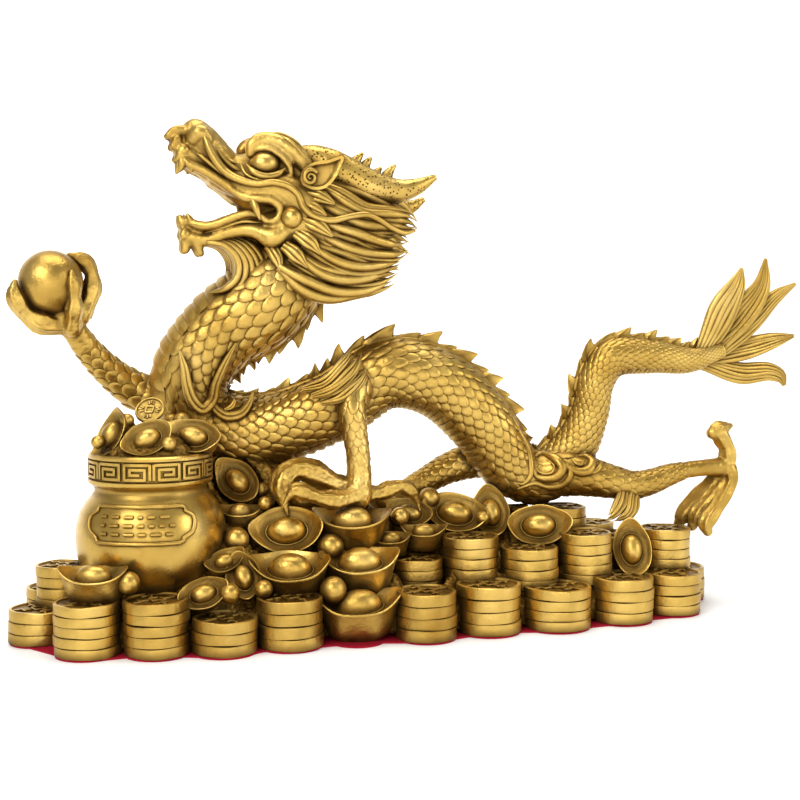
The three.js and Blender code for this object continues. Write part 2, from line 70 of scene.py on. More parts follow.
def deselect_all():
    """Nothing selected, so that an operator touches only the piece made next."""
    bpy.ops.object.select_all(action="DESELECT")


def triangles(piece):
    """How many triangles a mesh piece has."""
    return sum(len(face.vertices) - 2 for face in piece.data.polygons)


print("drawn places move by", SHIFT.tolist(), "mm into the frame")

# %% [markdown]
# ## Lines that flow
# Neck, legs, horns and hair all follow lines. A few stations of place and radius are joined by a smooth
# curve through them, walked in equal steps. A curve object could do this with handles, but stations that
# are read off the sculpture are easier to keep true, and the same walk also tells where each scale sits.
# The first line is the spine, one long S from the nape to the tail.

# %% Flowing line
def flow(stations, count):
    """Equal steps along a smooth line through stations of x, y, z and radius."""
    knots = np.array(stations, float)
    held = np.vstack([2 * knots[0] - knots[1], knots, 2 * knots[-1] - knots[-2]])
    gaps = np.linalg.norm(np.diff(held[:, :3], axis=0), axis=1) ** 0.5
    stretches = []
    share = np.linspace(0, 1, 16, endpoint=False)[:, None]
    for i in range(len(knots) - 1):
        a, b, c, d = held[i:i + 4]
        before, here, after = gaps[i:i + 3]
        leave = ((b - a) / before - (c - a) / (before + here) + (c - b) / here) * here
        arrive = ((c - b) / here - (d - b) / (here + after) + (d - c) / after) * here
        bend = (3 * (c - b) - 2 * leave - arrive) * share ** 2
        turn = (2 * (b - c) + leave + arrive) * share ** 3
        stretches.append(b + leave * share + bend + turn)
    dense = np.vstack([*stretches, knots[-1:]])
    steps = np.linalg.norm(np.diff(dense[:, :3], axis=0), axis=1)
    walked = np.concatenate([[0], np.cumsum(steps)])
    even = np.linspace(0, walked[-1], count)
    return np.stack([np.interp(even, walked, dense[:, k]) for k in range(4)], axis=1)


# %% Bearings and length
def bearings(line):
    """Heading, side and back of every step of a line. The side stays close to +Y."""
    heading = np.gradient(line[:, :3], axis=0)
    heading /= np.linalg.norm(heading, axis=1)[:, None]
    side = np.array([0, 1, 0]) - heading * heading[:, 1:2]
    side /= np.linalg.norm(side, axis=1)[:, None]
    return heading, side, np.cross(heading, side)


def length_of(line):
    """Walked length of a line, in mm."""
    return float(np.linalg.norm(np.diff(line[:, :3], axis=0), axis=1).sum())


# %% The spine
# Stations of x, y, z and radius in mm, from the nape to the end of the tail.
SPINE = [
    (-46, 8, 168, 18.5), (-64, 10, 149, 21), (-83, 16, 135, 19), (-96, 24, 114, 18), (-90, 28, 95, 17),
    (-65, 22, 88, 17), (-31, 11, 99, 16.5), (-5, 5, 115, 16.5), (20, 4, 110, 16.5), (42, 4, 91, 16),
    (59, 4, 68, 14), (73, 3, 63, 13.5), (89, 2, 75, 12.5), (98, 0, 94, 10.3), (101, -1, 110, 9.8),
    (109, -2, 121, 9.8), (131, -4, 122, 8.5), (151, -5, 120, 6.5), (169, -6, 125, 4.6),
]
spine = flow(SPINE, 240)
print("the spine is", round(length_of(spine)), "mm long")

# %% [markdown]
# ## Rods
# Hair, whiskers, toes and the plain cores of neck and legs are round rods. In Blender a curve with a
# bevel and a radius at each point is the quickest rod there is. Many splines share one curve object,
# which is made a mesh at the end, so a whole mane costs one conversion. The core of the body is the first
# rod. It is a little slimmer than the spine's own radius, because the scales lie on it.

# %% Rods from curves
def rods(name, lines, sides=8):
    """Round closed rods along lines of x, y, z and radius, as one mesh."""
    deselect_all()
    bpy.ops.curve.primitive_nurbs_path_add(location=(0, 0, 0))
    piece = bpy.context.object
    piece.name = name
    drawing = piece.data
    drawing.splines.clear()
    drawing.dimensions = "3D"
    drawing.bevel_depth = MM
    drawing.bevel_resolution = (sides - 4) // 2
    drawing.use_fill_caps = True
    for line in lines:
        spline = drawing.splines.new("POLY")
        spline.points.add(len(line) - 1)
        places = np.hstack([in_frame(line[:, :3]), np.ones((len(line), 1))])
        spline.points.foreach_set("co", places.ravel())
        spline.points.foreach_set("radius", line[:, 3].copy())
    bpy.ops.object.convert(target="MESH")
    piece = bpy.context.object
    bpy.ops.object.mode_set(mode="EDIT")
    bpy.ops.mesh.select_all(action="SELECT")
    bpy.ops.mesh.remove_doubles(threshold=1e-6)
    bpy.ops.mesh.normals_make_consistent(inside=False)
    bpy.ops.object.mode_set(mode="OBJECT")
    bpy.ops.object.shade_smooth_by_angle(angle=math.radians(50))
    return piece


# %% Body core
CORE_SHARE = 0.955
slim = spine.copy()
slim[:, 3] *= CORE_SHARE
body_core = rods("body_core", [slim], sides=28)
print("body core", triangles(body_core), "triangles")

# %% [markdown]
# ## Copies that bend
# One scale is modelled once and laid down hundreds of times, and every copy bends with the body under it.
# Each copy's points go through its own warp, and all copies of one kind end up in one mesh.

# %% Warped copies
def points_of(piece):
    """The mesh's points as an array of rows."""
    flat = np.empty(len(piece.data.vertices) * 3)
    piece.data.vertices.foreach_get("co", flat)
    return flat.reshape(-1, 3)


def copies(name, pattern, warps, angle=40):
    """One mesh of many copies of a pattern, each moved by its own warp. The pattern is used up."""
    points = points_of(pattern)
    faces = [tuple(face.vertices) for face in pattern.data.polygons]
    finishes = [face.material_index for face in pattern.data.polygons]
    laid = [warp(points) for warp in warps]
    knitted = []
    for k in range(len(laid)):
        first = k * len(points)
        knitted.extend(tuple(first + i for i in face) for face in faces)
    mesh = bpy.data.meshes.new(name)
    mesh.from_pydata(np.vstack(laid).tolist(), [], knitted)
    mesh.polygons.foreach_set("material_index", finishes * len(laid))
    piece = bpy.data.objects.new(name, mesh)
    bpy.context.collection.objects.link(piece)
    bpy.data.objects.remove(pattern)
    deselect_all()
    bpy.context.view_layer.objects.active = piece
    piece.select_set(True)
    bpy.ops.object.mode_set(mode="EDIT")
    bpy.ops.mesh.select_all(action="SELECT")
    bpy.ops.mesh.normals_make_consistent(inside=False)
    bpy.ops.object.mode_set(mode="OBJECT")
    bpy.ops.object.shade_smooth_by_angle(angle=math.radians(angle))
    return piece


# %% [markdown]
# ## Brass
# The casting is brushed bright on the high places, and brown patina stays in every hollow. An ambient
# occlusion node finds the hollows and darkens the colour there, so the brown in the carving is patina
# together with painted shade. Noise breaks up colour and gloss, and two sizes of bump give the slightly
# gritty skin of a sand casting. The horns are punched with pits, the ground between the treasure is coarse
# and dark, and the pot is rubbed to a polish.

# %% Material helpers
def noise(material, scale, detail):
    """Noise in the piece's own coordinates."""
    nodes, links = material.node_tree.nodes, material.node_tree.links
    field = nodes.new("ShaderNodeTexNoise")
    field.inputs["Scale"].default_value = scale
    field.inputs["Detail"].default_value = detail
    links.new(nodes.new("ShaderNodeTexCoord").outputs["Object"], field.inputs["Vector"])
    return field.outputs["Fac"]


def ramp(material, source, *stops):
    """Colours along a source. A stop is its place, then a grey or a red, green and blue."""
    bar = material.node_tree.nodes.new("ShaderNodeValToRGB")
    while len(bar.color_ramp.elements) < len(stops):
        bar.color_ramp.elements.new(0.5)
    for stop, (place, *colour) in zip(bar.color_ramp.elements, stops):
        stop.position = place
        stop.color = (*colour, 1) if len(colour) == 3 else (*colour * 3, 1)
    material.node_tree.links.new(source, bar.inputs["Fac"])
    return bar.outputs["Color"]


def blend(material, kind, share, first, second):
    """Mixes two colours. Each value is a constant or the output of another node."""
    mix = material.node_tree.nodes.new("ShaderNodeMix")
    mix.data_type = "RGBA"
    mix.blend_type = kind
    for socket, value in ((mix.inputs[0], share), (mix.inputs[6], first), (mix.inputs[7], second)):
        if isinstance(value, bpy.types.NodeSocket):
            material.node_tree.links.new(value, socket)
        else:
            socket.default_value = value
    return mix.outputs[2]


def bump(material, height, strength, deep):
    """Lets a height field tilt the shading. Deep is in metres."""
    nodes, links = material.node_tree.nodes, material.node_tree.links
    push = nodes.new("ShaderNodeBump")
    push.inputs["Strength"].default_value = strength
    push.inputs["Distance"].default_value = deep
    links.new(height, push.inputs["Height"])
    links.new(push.outputs["Normal"], nodes["Principled BSDF"].inputs["Normal"])


# %% Hollows
HOLLOW_REACH = 0.0048


def hollows(material):
    """How open a place lies: black deep in the carving, white on the high places."""
    hollow = material.node_tree.nodes.new("ShaderNodeAmbientOcclusion")
    hollow.samples = 8
    hollow.inputs["Distance"].default_value = HOLLOW_REACH
    # Where this mask is dark, the brass takes its brown colour: real patina and painted shade in one.
    return ramp(material, hollow.outputs["AO"], (0.46, 0), (0.84, 0.5), (1.0, 1))


# %% Brass
def brass(name, pits=0.0, grit=0.0, polish=0.0):
    """Cast brass with brown hollows. Pits are punch marks, grit a coarse ground, polish a rubbed sheen."""
    material = bpy.data.materials.new(name)
    material.use_nodes = True
    nodes, links = material.node_tree.nodes, material.node_tree.links
    skin = nodes["Principled BSDF"]
    skin.inputs["Metallic"].default_value = 1.0

    def cloudy(scale, detail, *stops):
        return ramp(material, noise(material, scale, detail), *stops)

    open_places = hollows(material)
    bright = cloudy(38, 5, (0.3, 0.46, 0.28, 0.055), (0.55, 0.62, 0.41, 0.10), (0.75, 0.72, 0.50, 0.155))
    # Dark brown of the hollows: the patina and the painted shade of the carving in one colour.
    patina_and_shade = cloudy(160, 4, (0.35, 0.10, 0.056, 0.013), (0.7, 0.22, 0.125, 0.028))
    stains = cloudy(22, 6, (0.38, 0.60, 0.52, 0.38), (0.56, 1))
    # Painted shade: the hollows take the dark colour, patina together with the shade that falls there.
    colour = blend(material, "MIX", open_places, patina_and_shade, bright)
    colour = blend(material, "MULTIPLY", 0.6 - 0.35 * polish, colour, stains)
    gloss = cloudy(90, 6, (0.3, 0.28 - 0.05 * polish), (0.7, 0.46 - 0.12 * polish))
    gloss = blend(material, "MIX", open_places, (0.62, 0.62, 0.62, 1), gloss)
    height = blend(material, "MIX", 0.55, noise(material, 800, 4), noise(material, 250, 4))
    strength = 0.8 - 0.6 * polish
    if pits:
        cells = nodes.new("ShaderNodeTexVoronoi")
        cells.inputs["Scale"].default_value = 640
        links.new(nodes.new("ShaderNodeTexCoord").outputs["Object"], cells.inputs["Vector"])
        dots = ramp(material, cells.outputs["Distance"], (0.24, 0), (0.33, 1))
        shade = blend(material, "MIX", dots, (0.08, 0.05, 0.02, 1), (1, 1, 1, 1))
        colour = blend(material, "MULTIPLY", pits, colour, shade)
        height = blend(material, "MULTIPLY", pits, height, dots)
    if grit:
        grains = cloudy(520, 5, (0.42, 0.18, 0.12, 0.06), (0.70, 0.75, 0.68, 0.54))
        colour = blend(material, "MULTIPLY", grit, colour, grains)
        height = blend(material, "MIX", 0.7, height, noise(material, 520, 5))
        strength = 1.0
    links.new(colour, skin.inputs["Base Color"])
    links.new(gloss, skin.inputs["Roughness"])
    bump(material, height, strength, 0.0005 + 0.001 * grit)
    return material


# %% Four finishes
def finish_with(piece, *materials):
    """The finishes of a piece, in the order of its face numbers."""
    for material in materials:
        piece.data.materials.append(material)
    return piece


cast_brass = brass("cast_brass")
pitted_brass = brass("pitted_brass", pits=0.9)
gritty_brass = brass("gritty_brass", grit=0.85)
polished_brass = brass("polished_brass", polish=1.0)
print("finishes", [finish.name for finish in (cast_brass, pitted_brass, gritty_brass, polished_brass)])

# %% [markdown]
# ## The scale
# A dragon's scale is a round shingle: sunk at its root, raised at its free end, with a soft rim. It
# starts as a disc, is drawn up to a wall, and two insets make the rim and the low dome. It measures one
# by one, because the warp stretches it to its place. It is repeated many hundred times, so it has only a
# few dozen faces.

# %% One scale
def scale_pattern():
    """A unit scale around the origin, one wide, one long and one high."""
    deselect_all()
    bpy.ops.mesh.primitive_circle_add(vertices=14, radius=0.5, fill_type="NGON")
    bpy.ops.object.mode_set(mode="EDIT")
    bpy.ops.mesh.extrude_region_move(TRANSFORM_OT_translate={"value": (0, 0, 0.7)})
    bpy.ops.mesh.inset(thickness=0.06, depth=0.2)
    bpy.ops.mesh.inset(thickness=0.18, depth=0.1)
    bpy.ops.object.mode_set(mode="OBJECT")
    return bpy.context.object


# %% A skin along a line
class Skin:
    """The round skin along a line, where a scale finds its place from steps walked, turn and height."""

    def __init__(self, line):
        self.line = line
        self.side, self.back = bearings(line)[1:]
        self.length = length_of(line)
        self.steps = np.linspace(0, self.length, len(line))

    def at(self, walked, degrees, height):
        """Points in the frame. The height is a share of the radius there."""
        def along(values):
            return np.stack([np.interp(walked, self.steps, values[:, k]) for k in range(3)], axis=1)
        radius = np.interp(walked, self.steps, self.line[:, 3]) * height
        turn = np.radians(degrees)
        across = along(self.side) * (radius * np.cos(turn))[:, None]
        over = along(self.back) * (radius * np.sin(turn))[:, None]
        return in_frame(along(self.line[:, :3]) + across + over)

    def radius(self, walked):
        """The radius at a place on the line, in mm."""
        return float(np.interp(walked, self.steps, self.line[:, 3]))


# %% Rows of scales
def scale_warp(skin, walked, degrees, breadth, reach, relief):
    """Lays the unit scale on a skin, with its root sunk and its free end raised towards the line's end."""
    def warp(points):
        along = points[:, 1] + 0.5
        height = 1 - 0.66 * relief + points[:, 2] * relief * (0.1 + 0.9 * along)
        return skin.at(walked + (along - 0.4) * reach, degrees + points[:, 0] * breadth, height)
    return warp


def scale_rows(name, skin, around, pitch, first, last, low=0, high=360, relief=0.2):
    """Staggered rows of scales between two places of a line, over a range of degrees about it."""
    warps = []
    walked = first
    row = 0
    turn = 360 / around
    lift = relief * math.radians(turn)
    while walked < last:
        step = pitch * skin.radius(walked)
        for k in range(int((high - low) / turn + 0.01)):
            degrees = low + turn * (k + (0.25 if row % 2 else 0.75)) + chance.uniform(-0.06, 0.06) * turn
            reach = step * chance.uniform(1.85, 2.05)
            rise = lift * chance.uniform(0.85, 1.15)
            warps.append(scale_warp(skin, walked, degrees, turn * 1.03, reach, rise))
        walked += step
        row += 1
    return copies(name, scale_pattern(), warps)


# %% [markdown]
# ## Neck, body and tail
# Scales cover the back and the sides of the body, in rows that grow smaller with it. Broad plates with a
# rounded crown cross its belly, each lapping over the next. Both kinds could be carved into the core, but
# laid on as copies they keep crisp edges.

# %% Body scales
BELLY_HALF = 36
body_skin = Skin(spine)
body_scales = scale_rows("body_scales", body_skin, 19, 0.29, 4, body_skin.length - 2,
                         low=-90 + BELLY_HALF, high=270 - BELLY_HALF, relief=0.31)
print("body scales", triangles(body_scales), "triangles")

# %% Belly plates
def plate_pattern():
    """A unit belly plate: a strip that is one wide, one long and one high."""
    deselect_all()
    bpy.ops.mesh.primitive_grid_add(x_subdivisions=8, y_subdivisions=4, size=1)
    bpy.ops.object.mode_set(mode="EDIT")
    bpy.ops.mesh.select_all(action="SELECT")
    bpy.ops.mesh.extrude_region_move(TRANSFORM_OT_translate={"value": (0, 0, 1)})
    bpy.ops.object.mode_set(mode="OBJECT")
    return bpy.context.object


def plate_warp(skin, walked, reach):
    """Lays a belly plate across the underside, with a rounded crown and its free edge towards the tail."""
    def warp(points):
        along = points[:, 1] + 0.5
        crown = 1 - 0.6 * np.abs(2 * points[:, 1]) ** 4
        edge = 1 - 0.35 * np.abs(2 * points[:, 0]) ** 6
        height = 0.93 + points[:, 2] * (0.06 + 0.06 * along) * crown * edge
        return skin.at(walked + along * reach, 270 + points[:, 0] * 2 * (BELLY_HALF + 5), height)
    return warp


belly_warps = []
walked = 6.0
while walked < body_skin.length - 12:
    step = 0.27 * body_skin.radius(walked)
    belly_warps.append(plate_warp(body_skin, walked, step * 1.1))
    walked += step
belly_plates = copies("belly_plates", plate_pattern(), belly_warps)
print(len(belly_warps), "belly plates")

# %% [markdown]
# ## Back frill
# A frill of flames stands along the back and leans to the tail, one tall and one short in turn. A flame
# is a disc, drawn up and drawn in four times while it leans, so it ends in a hook. The flames are wide
# enough at the foot to touch, and a thin ridge runs under them. At the tight bends they are lower and
# wider apart.

# %% One flame
FLAME_SIDES = 12
# How far each ring leans and rises, and its share of the ring before.
FLAME_RINGS = [(0.08, 0.4, 0.94), (0.24, 0.24, 0.62), (0.22, 0.22, 0.56), (0.16, 0.14, 0.3)]
FLAME_GROOVE = (3, 9, 10)


def flame_pattern():
    """A unit flame that rises and hooks along +Y. Some points of every ring are pressed in as grooves."""
    deselect_all()
    bpy.ops.mesh.primitive_circle_add(vertices=FLAME_SIDES, radius=0.65, fill_type="NGON")
    bpy.ops.object.mode_set(mode="EDIT")
    middle, height = 0.0, 0.0
    for lean, rise, share in FLAME_RINGS:
        middle, height = middle + lean, height + rise
        bpy.ops.mesh.extrude_region_move(TRANSFORM_OT_translate={"value": (0, lean, rise)})
        bpy.ops.transform.resize(value=(share, share, 1), center_override=(0, middle, height))
    bpy.ops.object.mode_set(mode="OBJECT")
    piece = bpy.context.object
    for k, point in enumerate(piece.data.vertices):
        if k % FLAME_SIDES in FLAME_GROOVE:
            point.co.x *= 0.5
    return piece


def flame_warp(skin, walked, tall, long, thick):
    """Stands a flame on the back at a place of the line. Tall, long and thick are in mm."""
    def warp(points):
        radius = skin.radius(walked)
        height = 0.93 + points[:, 2] * tall / radius
        turn = np.degrees(points[:, 0] * thick / radius)
        return skin.at(walked + points[:, 1] * long, 90 + turn, height)
    return warp


# %% Flames along the back
# Steps along the spine, and the gap and the height of the flames there, in mm.
FRILL_PLACES = (0, 60, 90, 125, 165, 245, 272, 300, 330, 430)
FRILL_GAPS = (6.4, 6.4, 12, 12, 7.6, 7.6, 11, 11, 6.6, 6.6)
FRILL_HEIGHTS = (6.4, 5.4, 3, 3, 7, 6.6, 4.2, 4.2, 4.6, 4.6)
frill_warps = []
walked = 10.0
tall_next = True
while walked < body_skin.length - 12:
    gap = float(np.interp(walked, FRILL_PLACES, FRILL_GAPS)) * chance.uniform(0.88, 1.12)
    tall = float(np.interp(walked, FRILL_PLACES, FRILL_HEIGHTS)) * chance.uniform(0.9, 1.15)
    tall = tall * (1 if tall_next else 0.6) + 0.07 * body_skin.radius(walked)
    frill_warps.append(flame_warp(body_skin, walked, tall, gap * 0.95, 4.4 if tall_next else 3.4))
    walked += gap
    tall_next = not tall_next
frill = copies("frill", flame_pattern(), frill_warps, angle=50)
back = bearings(spine)[2]
ridge_line = np.column_stack([spine[:, :3] + back * spine[:, 3:4] * 0.93, 0.7 + spine[:, 3] * 0.12])
frill_ridge = rods("frill_ridge", [ridge_line[6:-8]], sides=8)
print(len(frill_warps), "flames along the back")

# %% [markdown]
# ## Tail fin
# Five flat blades fan out from the end of the tail, each with ridges that run together at its tip.
# Strands laid side by side as a lock give the ridges and the grooves between them in one go. The same
# lock serves later for tufts, mane and scrolls.

# %% Locks of strands
def lock(stations, strands, fill=1.3, bulge=0.4, wave=0.0, count=26, uneven=0.0):
    """Side-by-side strands of a flat lock. A station's radius is half the lock's breadth there."""
    line = flow(stations, count)
    side, back = bearings(line)[1:]
    breadth = line[:, 3:4]
    share = np.linspace(0, 1, count)
    lines = []
    for place in np.linspace(-1, 1, strands):
        sway = wave * np.sin(2 * math.pi * (1.4 * share + chance.random()))[:, None]
        across = back * breadth * (place * (1 - 1 / strands) + sway)
        rise = bulge * (1 - place ** 2) + 0.5 * wave * chance.uniform(-1, 1)
        thick = breadth[:, 0] * fill / strands * (1 + 2 * wave * chance.uniform(-0.5, 1))
        places = line[:, :3] + across + side * breadth * rise
        strand = np.column_stack([places, np.maximum(thick, 0.25)])
        if uneven:
            stop = 1 - uneven * chance.random()
            strand = np.stack([np.interp(share * stop, share, column) for column in strand.T], axis=1)
            strand[:, 3] *= np.minimum(1, (1 - share) * 4 + 0.12)
        lines.append(strand)
    return lines


# %% Tail blades
TAIL_BLADES = [
    [(156, -6, 120, 3.4), (167, -9, 143, 7.4), (174, -11, 157, 4.8), (177.6, -10, 166, 0.8)],
    [(160, -6, 121, 4.2), (179, -8, 143, 7), (189.5, -9, 157, 4.8), (192.6, -8, 171, 0.8)],
    [(163, -6, 122, 4.2), (186, -6, 139, 5.4), (200, -5, 151, 3.6), (213, -4, 158.4, 0.8)],
    [(161, -5, 121.5, 4.2), (188, -3, 126, 5.4), (202, -2, 129, 3.8), (214, -2, 131.5, 0.8)],
    [(157, -5, 119.5, 4), (184, -1, 112.6, 5), (202, 1, 112.8, 4.4), (209.5, 2, 110, 3.2),
     (211.5, 2, 105.5, 1)],
]
tail_lines = []
for k, blade in enumerate(TAIL_BLADES):
    tail_lines += lock(blade, 6, fill=1.6, bulge=0.2 if k % 2 else -0.2, wave=0.05, count=30)
tail_fin = rods("tail_fin", tail_lines, sides=8)
print("tail fin", triangles(tail_fin), "triangles")

# %% [markdown]
# ## Legs
# Each leg is a scaled rod that thins to a smooth ankle, laid down like the body: a plain core and
# staggered rows of scales. One front leg reaches out to a ball and one stands on the treasure. One hind
# leg stretches back and the other, on the far side, stretches forward.

# %% Scaled legs
def leg(name, stations, around=9, pitch=0.5, first=0.06, last=0.86, relief=0.2):
    """A scaled leg: its core and rows of scales between two shares of its length."""
    line = flow(stations, 60)
    skin = Skin(line)
    core = line.copy()
    core[:, 3] *= 0.94
    rows = scale_rows(name + "_scales", skin, around, pitch, skin.length * first, skin.length * last,
                      relief=relief)
    return [rods(name + "_core", [core], sides=20), rows]


# Every leg runs from its root in the body to the wrist.
BALL_ARM = [
    (-97, 30, 104, 11), (-116, 38, 106, 9.6), (-129, 36, 114.5, 7.8), (-137, 33, 122, 6.9),
    (-143, 30, 129, 6.2), (-148, 27, 136, 5.8), (-153, 25, 142, 6.6),
]
FRONT_LEG = [
    (-18, 8, 116, 11), (-23, -3, 109.5, 9.6), (-26.4, -8.6, 101.5, 7.2), (-25.8, -10.6, 91, 6.2),
    (-24.2, -11.6, 79, 5.6), (-23.8, -12, 68, 5.9), (-24.8, -13, 60, 6.6),
]
HIND_LEG = [
    (64, 4, 65, 10.5), (80, -5, 65.4, 11.4), (93, -10, 63.8, 9.8), (105, -14, 61.2, 8.2),
    (115, -16, 59.4, 7.1), (124, -17.6, 61, 6.4), (133, -18.4, 64, 5.5), (144, -19, 66.4, 4.2),
    (154, -20, 67.2, 4.2), (163, -20, 67, 5.2),
]
FAR_LEG = [
    (74, 3, 66, 8), (62, 11, 71, 11), (48, 18, 71, 9.4), (32.5, 20, 67, 7.8), (19.5, 20, 61, 6.6),
    (7, 18, 56, 5.4),
]
ball_arm = leg("ball_arm", BALL_ARM, around=7, pitch=0.66, first=0.08, last=0.8, relief=0.24)
front_leg = leg("front_leg", FRONT_LEG, around=8, pitch=0.6, first=0.1, last=0.74)
hind_leg = leg("hind_leg", HIND_LEG, around=10, pitch=0.5, first=0.12, last=0.78)
far_leg = leg("far_leg", FAR_LEG, around=9, pitch=0.5, first=0.18, last=0.9)
print("legs", [triangles(scales) for core, scales in (ball_arm, front_leg, hind_leg, far_leg)], "triangles")

# %% [markdown]
# ## Paws
# A paw is modelled in wax before it is cast, so its forms run together. Toes with knuckles, thin sinews
# and claws are laid as rods. A voxel remesh melts them into one skin with the wrist, and a smoothing pass
# takes the dents out. Clouds then push the skin in and out, because hand-pressed wax is never even.

# %% Balls and joining
def ball(place, radius, segments=28):
    """A smooth ball at a drawn place."""
    deselect_all()
    bpy.ops.mesh.primitive_uv_sphere_add(segments=segments, ring_count=segments // 2, radius=radius * MM,
                                         location=in_frame(place))
    bpy.ops.object.transform_apply(location=True)
    bpy.ops.object.shade_smooth()
    return bpy.context.object


def gather(name, pieces):
    """Joins pieces into one object."""
    deselect_all()
    for piece in pieces:
        piece.select_set(True)
    bpy.context.view_layer.objects.active = pieces[0]
    bpy.ops.object.join()
    pieces[0].name = name
    pieces[0].data.name = name
    print(name, triangles(pieces[0]), "triangles")
    return pieces[0]


# %% Melting and crumbling
def melted(name, lines, ridges, voxel, passes):
    """Rods with round ends and thin ridges, melted into one soft skin."""
    lumps = [rods(name, lines + ridges, sides=16)]
    for line in lines:
        lumps += [ball(end[:3], end[3], segments=16) for end in (line[0], line[-1])]
    skin = gather(name, lumps)
    melt = skin.modifiers.new("melt", "REMESH")
    melt.mode = "VOXEL"
    melt.voxel_size = voxel * MM
    bpy.ops.object.modifier_apply(modifier=melt.name)
    soften = skin.modifiers.new("soften", "SMOOTH")
    soften.factor = 0.5
    soften.iterations = passes
    bpy.ops.object.modifier_apply(modifier=soften.name)
    bpy.ops.object.shade_smooth()
    return skin


def crumbled(piece, size, strength):
    """Pushes a fine mesh in and out by clouds, because hand-pressed wax is never even."""
    clouds = bpy.data.textures.new(piece.name, "CLOUDS")
    clouds.noise_scale = size * MM
    push = piece.modifiers.new("push", "DISPLACE")
    push.texture = clouds
    push.strength = strength * MM
    push.mid_level = 0.5
    bpy.ops.object.modifier_apply(modifier=push.name)
    return piece


# %% One paw
def paw(name, wrist, toes, claw, rough, knuckle=0.15):
    """Toes with knuckles, sinews and claws, melted together with the wrist."""
    lines, ridges = [flow(wrist, 20)], []
    share = np.linspace(0, 1, 40)
    for stations in toes:
        line = flow(stations, 40)
        knuckles = 1 + knuckle * np.cos(share * 5 * math.pi) * np.minimum(1, 3 * share)
        thick = np.maximum(line[:, 3] * 0.86, 1.5) * knuckles
        lines.append(np.column_stack([line[:, :3], thick]))
        heading, side, back = bearings(line)
        for swing in range(0, 360, 60):
            out = back * math.cos(math.radians(swing)) + side * math.sin(math.radians(swing))
            ridges.append(np.column_stack([line[:, :3] + out * thick[:, None] * 0.87, thick * 0.28])[2:-3])
        tip = line[-1, :3]
        hook = tip + heading[-1] * claw * 0.8 + np.array([0, 0, -0.3 * claw])
        ridges.append(flow([(*line[-6, :3], thick[-6] * 0.9), (*tip, thick[-1] * 0.9), (*hook, 0.5)], 12))
    return crumbled(melted(name, lines, ridges, 0.6, 2), 2, rough)


# %% Four paws
BALL = np.array([-158.5, 24, 158])


def round_ball(*stations):
    """Stations of a finger around the ball: degrees in the show plane, reach, depth y and radius."""
    turned_places = []
    for degrees, reach, y, radius in stations:
        turn = math.radians(degrees)
        x, z = BALL[0] + reach * math.cos(turn), BALL[2] + reach * math.sin(turn)
        turned_places.append((x, y, z, radius))
    return turned_places


BALL_TOES = [
    round_ball((-62, 21, 25, 5.6), (-95, 18.8, 22, 5.4), (-128, 18, 20, 4.8), (-153, 17.2, 18, 4.1),
               (-171, 16.6, 17.6, 3.2), (-180, 15.9, 17.6, 2)),
    [(-149.5, 21, 137, 4.8), (-149, 15.6, 145, 4), (-149, 13.4, 151.6, 3.7), (-149.6, 11.8, 158, 3.1),
     (-150.2, 11.6, 162, 1.9)],
    round_ball((-50, 20.4, 27, 5.4), (-18, 19, 28, 4.4), (8, 19, 28, 4.2), (27, 18.4, 27, 3.9),
               (43, 16.4, 25.4, 3.2), (54, 15.2, 25, 2)),
    [(-151, 29, 139, 5), (-155, 36, 143, 4.4), (-159.5, 40.6, 151, 3.6), (-161, 39.6, 160, 2)],
]
FRONT_TOES = [
    [(-24.5, -14, 61, 5), (-35.6, -19, 59.2, 4.4), (-44.5, -20, 60.6, 4), (-51, -20.6, 63, 3.8),
     (-56.6, -21, 64.6, 3.6), (-60, -21.4, 61.4, 2)],
    [(-26, -10, 62, 5), (-36, -7.6, 66.5, 5), (-45, -7, 71, 5.6), (-52.4, -7, 72.6, 6.2),
     (-58, -7.4, 69, 5.8), (-60, -8.6, 62, 4.4), (-58.4, -10, 56, 2.2)],
    [(-22, -12, 60.6, 4.8), (-14, -11, 60.4, 4), (-7, -11, 62.6, 3.8), (-1.6, -11, 62.8, 3.6),
     (2.6, -11, 59.6, 2.9), (4.6, -11, 56, 1.9)],
]
HIND_TOES = [
    [(163.6, -20, 66, 5.6), (165, -20, 72, 5), (164.2, -20, 77, 4.6), (161.8, -20, 81, 4.6),
     (159.6, -20, 84, 4.8)],
    [(156.2, -20, 84.2, 3.6), (158.8, -20, 85.4, 4.7), (162.2, -20, 86.4, 4), (166.4, -20, 87.6, 1.4)],
    [(164.6, -21, 66, 5.6), (165.4, -22, 61, 4.8), (161.8, -23, 54, 4.4), (155.6, -24, 46, 4.5),
     (150.4, -25, 39.4, 4.4), (151.4, -25.4, 36, 3)],
    [(162, -17, 62, 5.2), (157.6, -14, 55.4, 5.4), (150.4, -12, 48, 5.6), (145, -11.4, 41.4, 4.6),
     (143, -11, 38, 3)],
    [(163, -19, 60, 4.6), (156.6, -18.4, 51.6, 4.8), (150, -18, 44, 4.8), (147, -18, 38, 3.2)],
]
FAR_TOES = [
    [(10, 18, 57, 4.6), (-4, 15, 57, 3.8), (-11, 14, 52, 2)],
    [(10, 19, 57, 4.6), (-3, 25, 54, 3.8), (-10, 27, 48, 2)],
]
ball_paw = paw("ball_paw", BALL_ARM[-3:], BALL_TOES, claw=3, rough=0.5)
front_paw = paw("front_paw", FRONT_LEG[-3:], FRONT_TOES, claw=5, rough=0.9)
hind_paw = paw("hind_paw", HIND_LEG[-3:], HIND_TOES, claw=2, rough=0.25, knuckle=0.05)
far_paw = paw("far_paw", FAR_LEG[-2:], FAR_TOES, claw=5, rough=0.8)
print("paws", [triangles(piece) for piece in (ball_paw, front_paw, hind_paw, far_paw)], "triangles")

# %% [markdown]
# ## Tufts and the ball
# Flame-like tufts grow at elbow and hock, and the lifted ball is the one plain round form of the dragon.
# They are joined with the legs and paws to one piece, so no parting line shows at shoulder and hip.

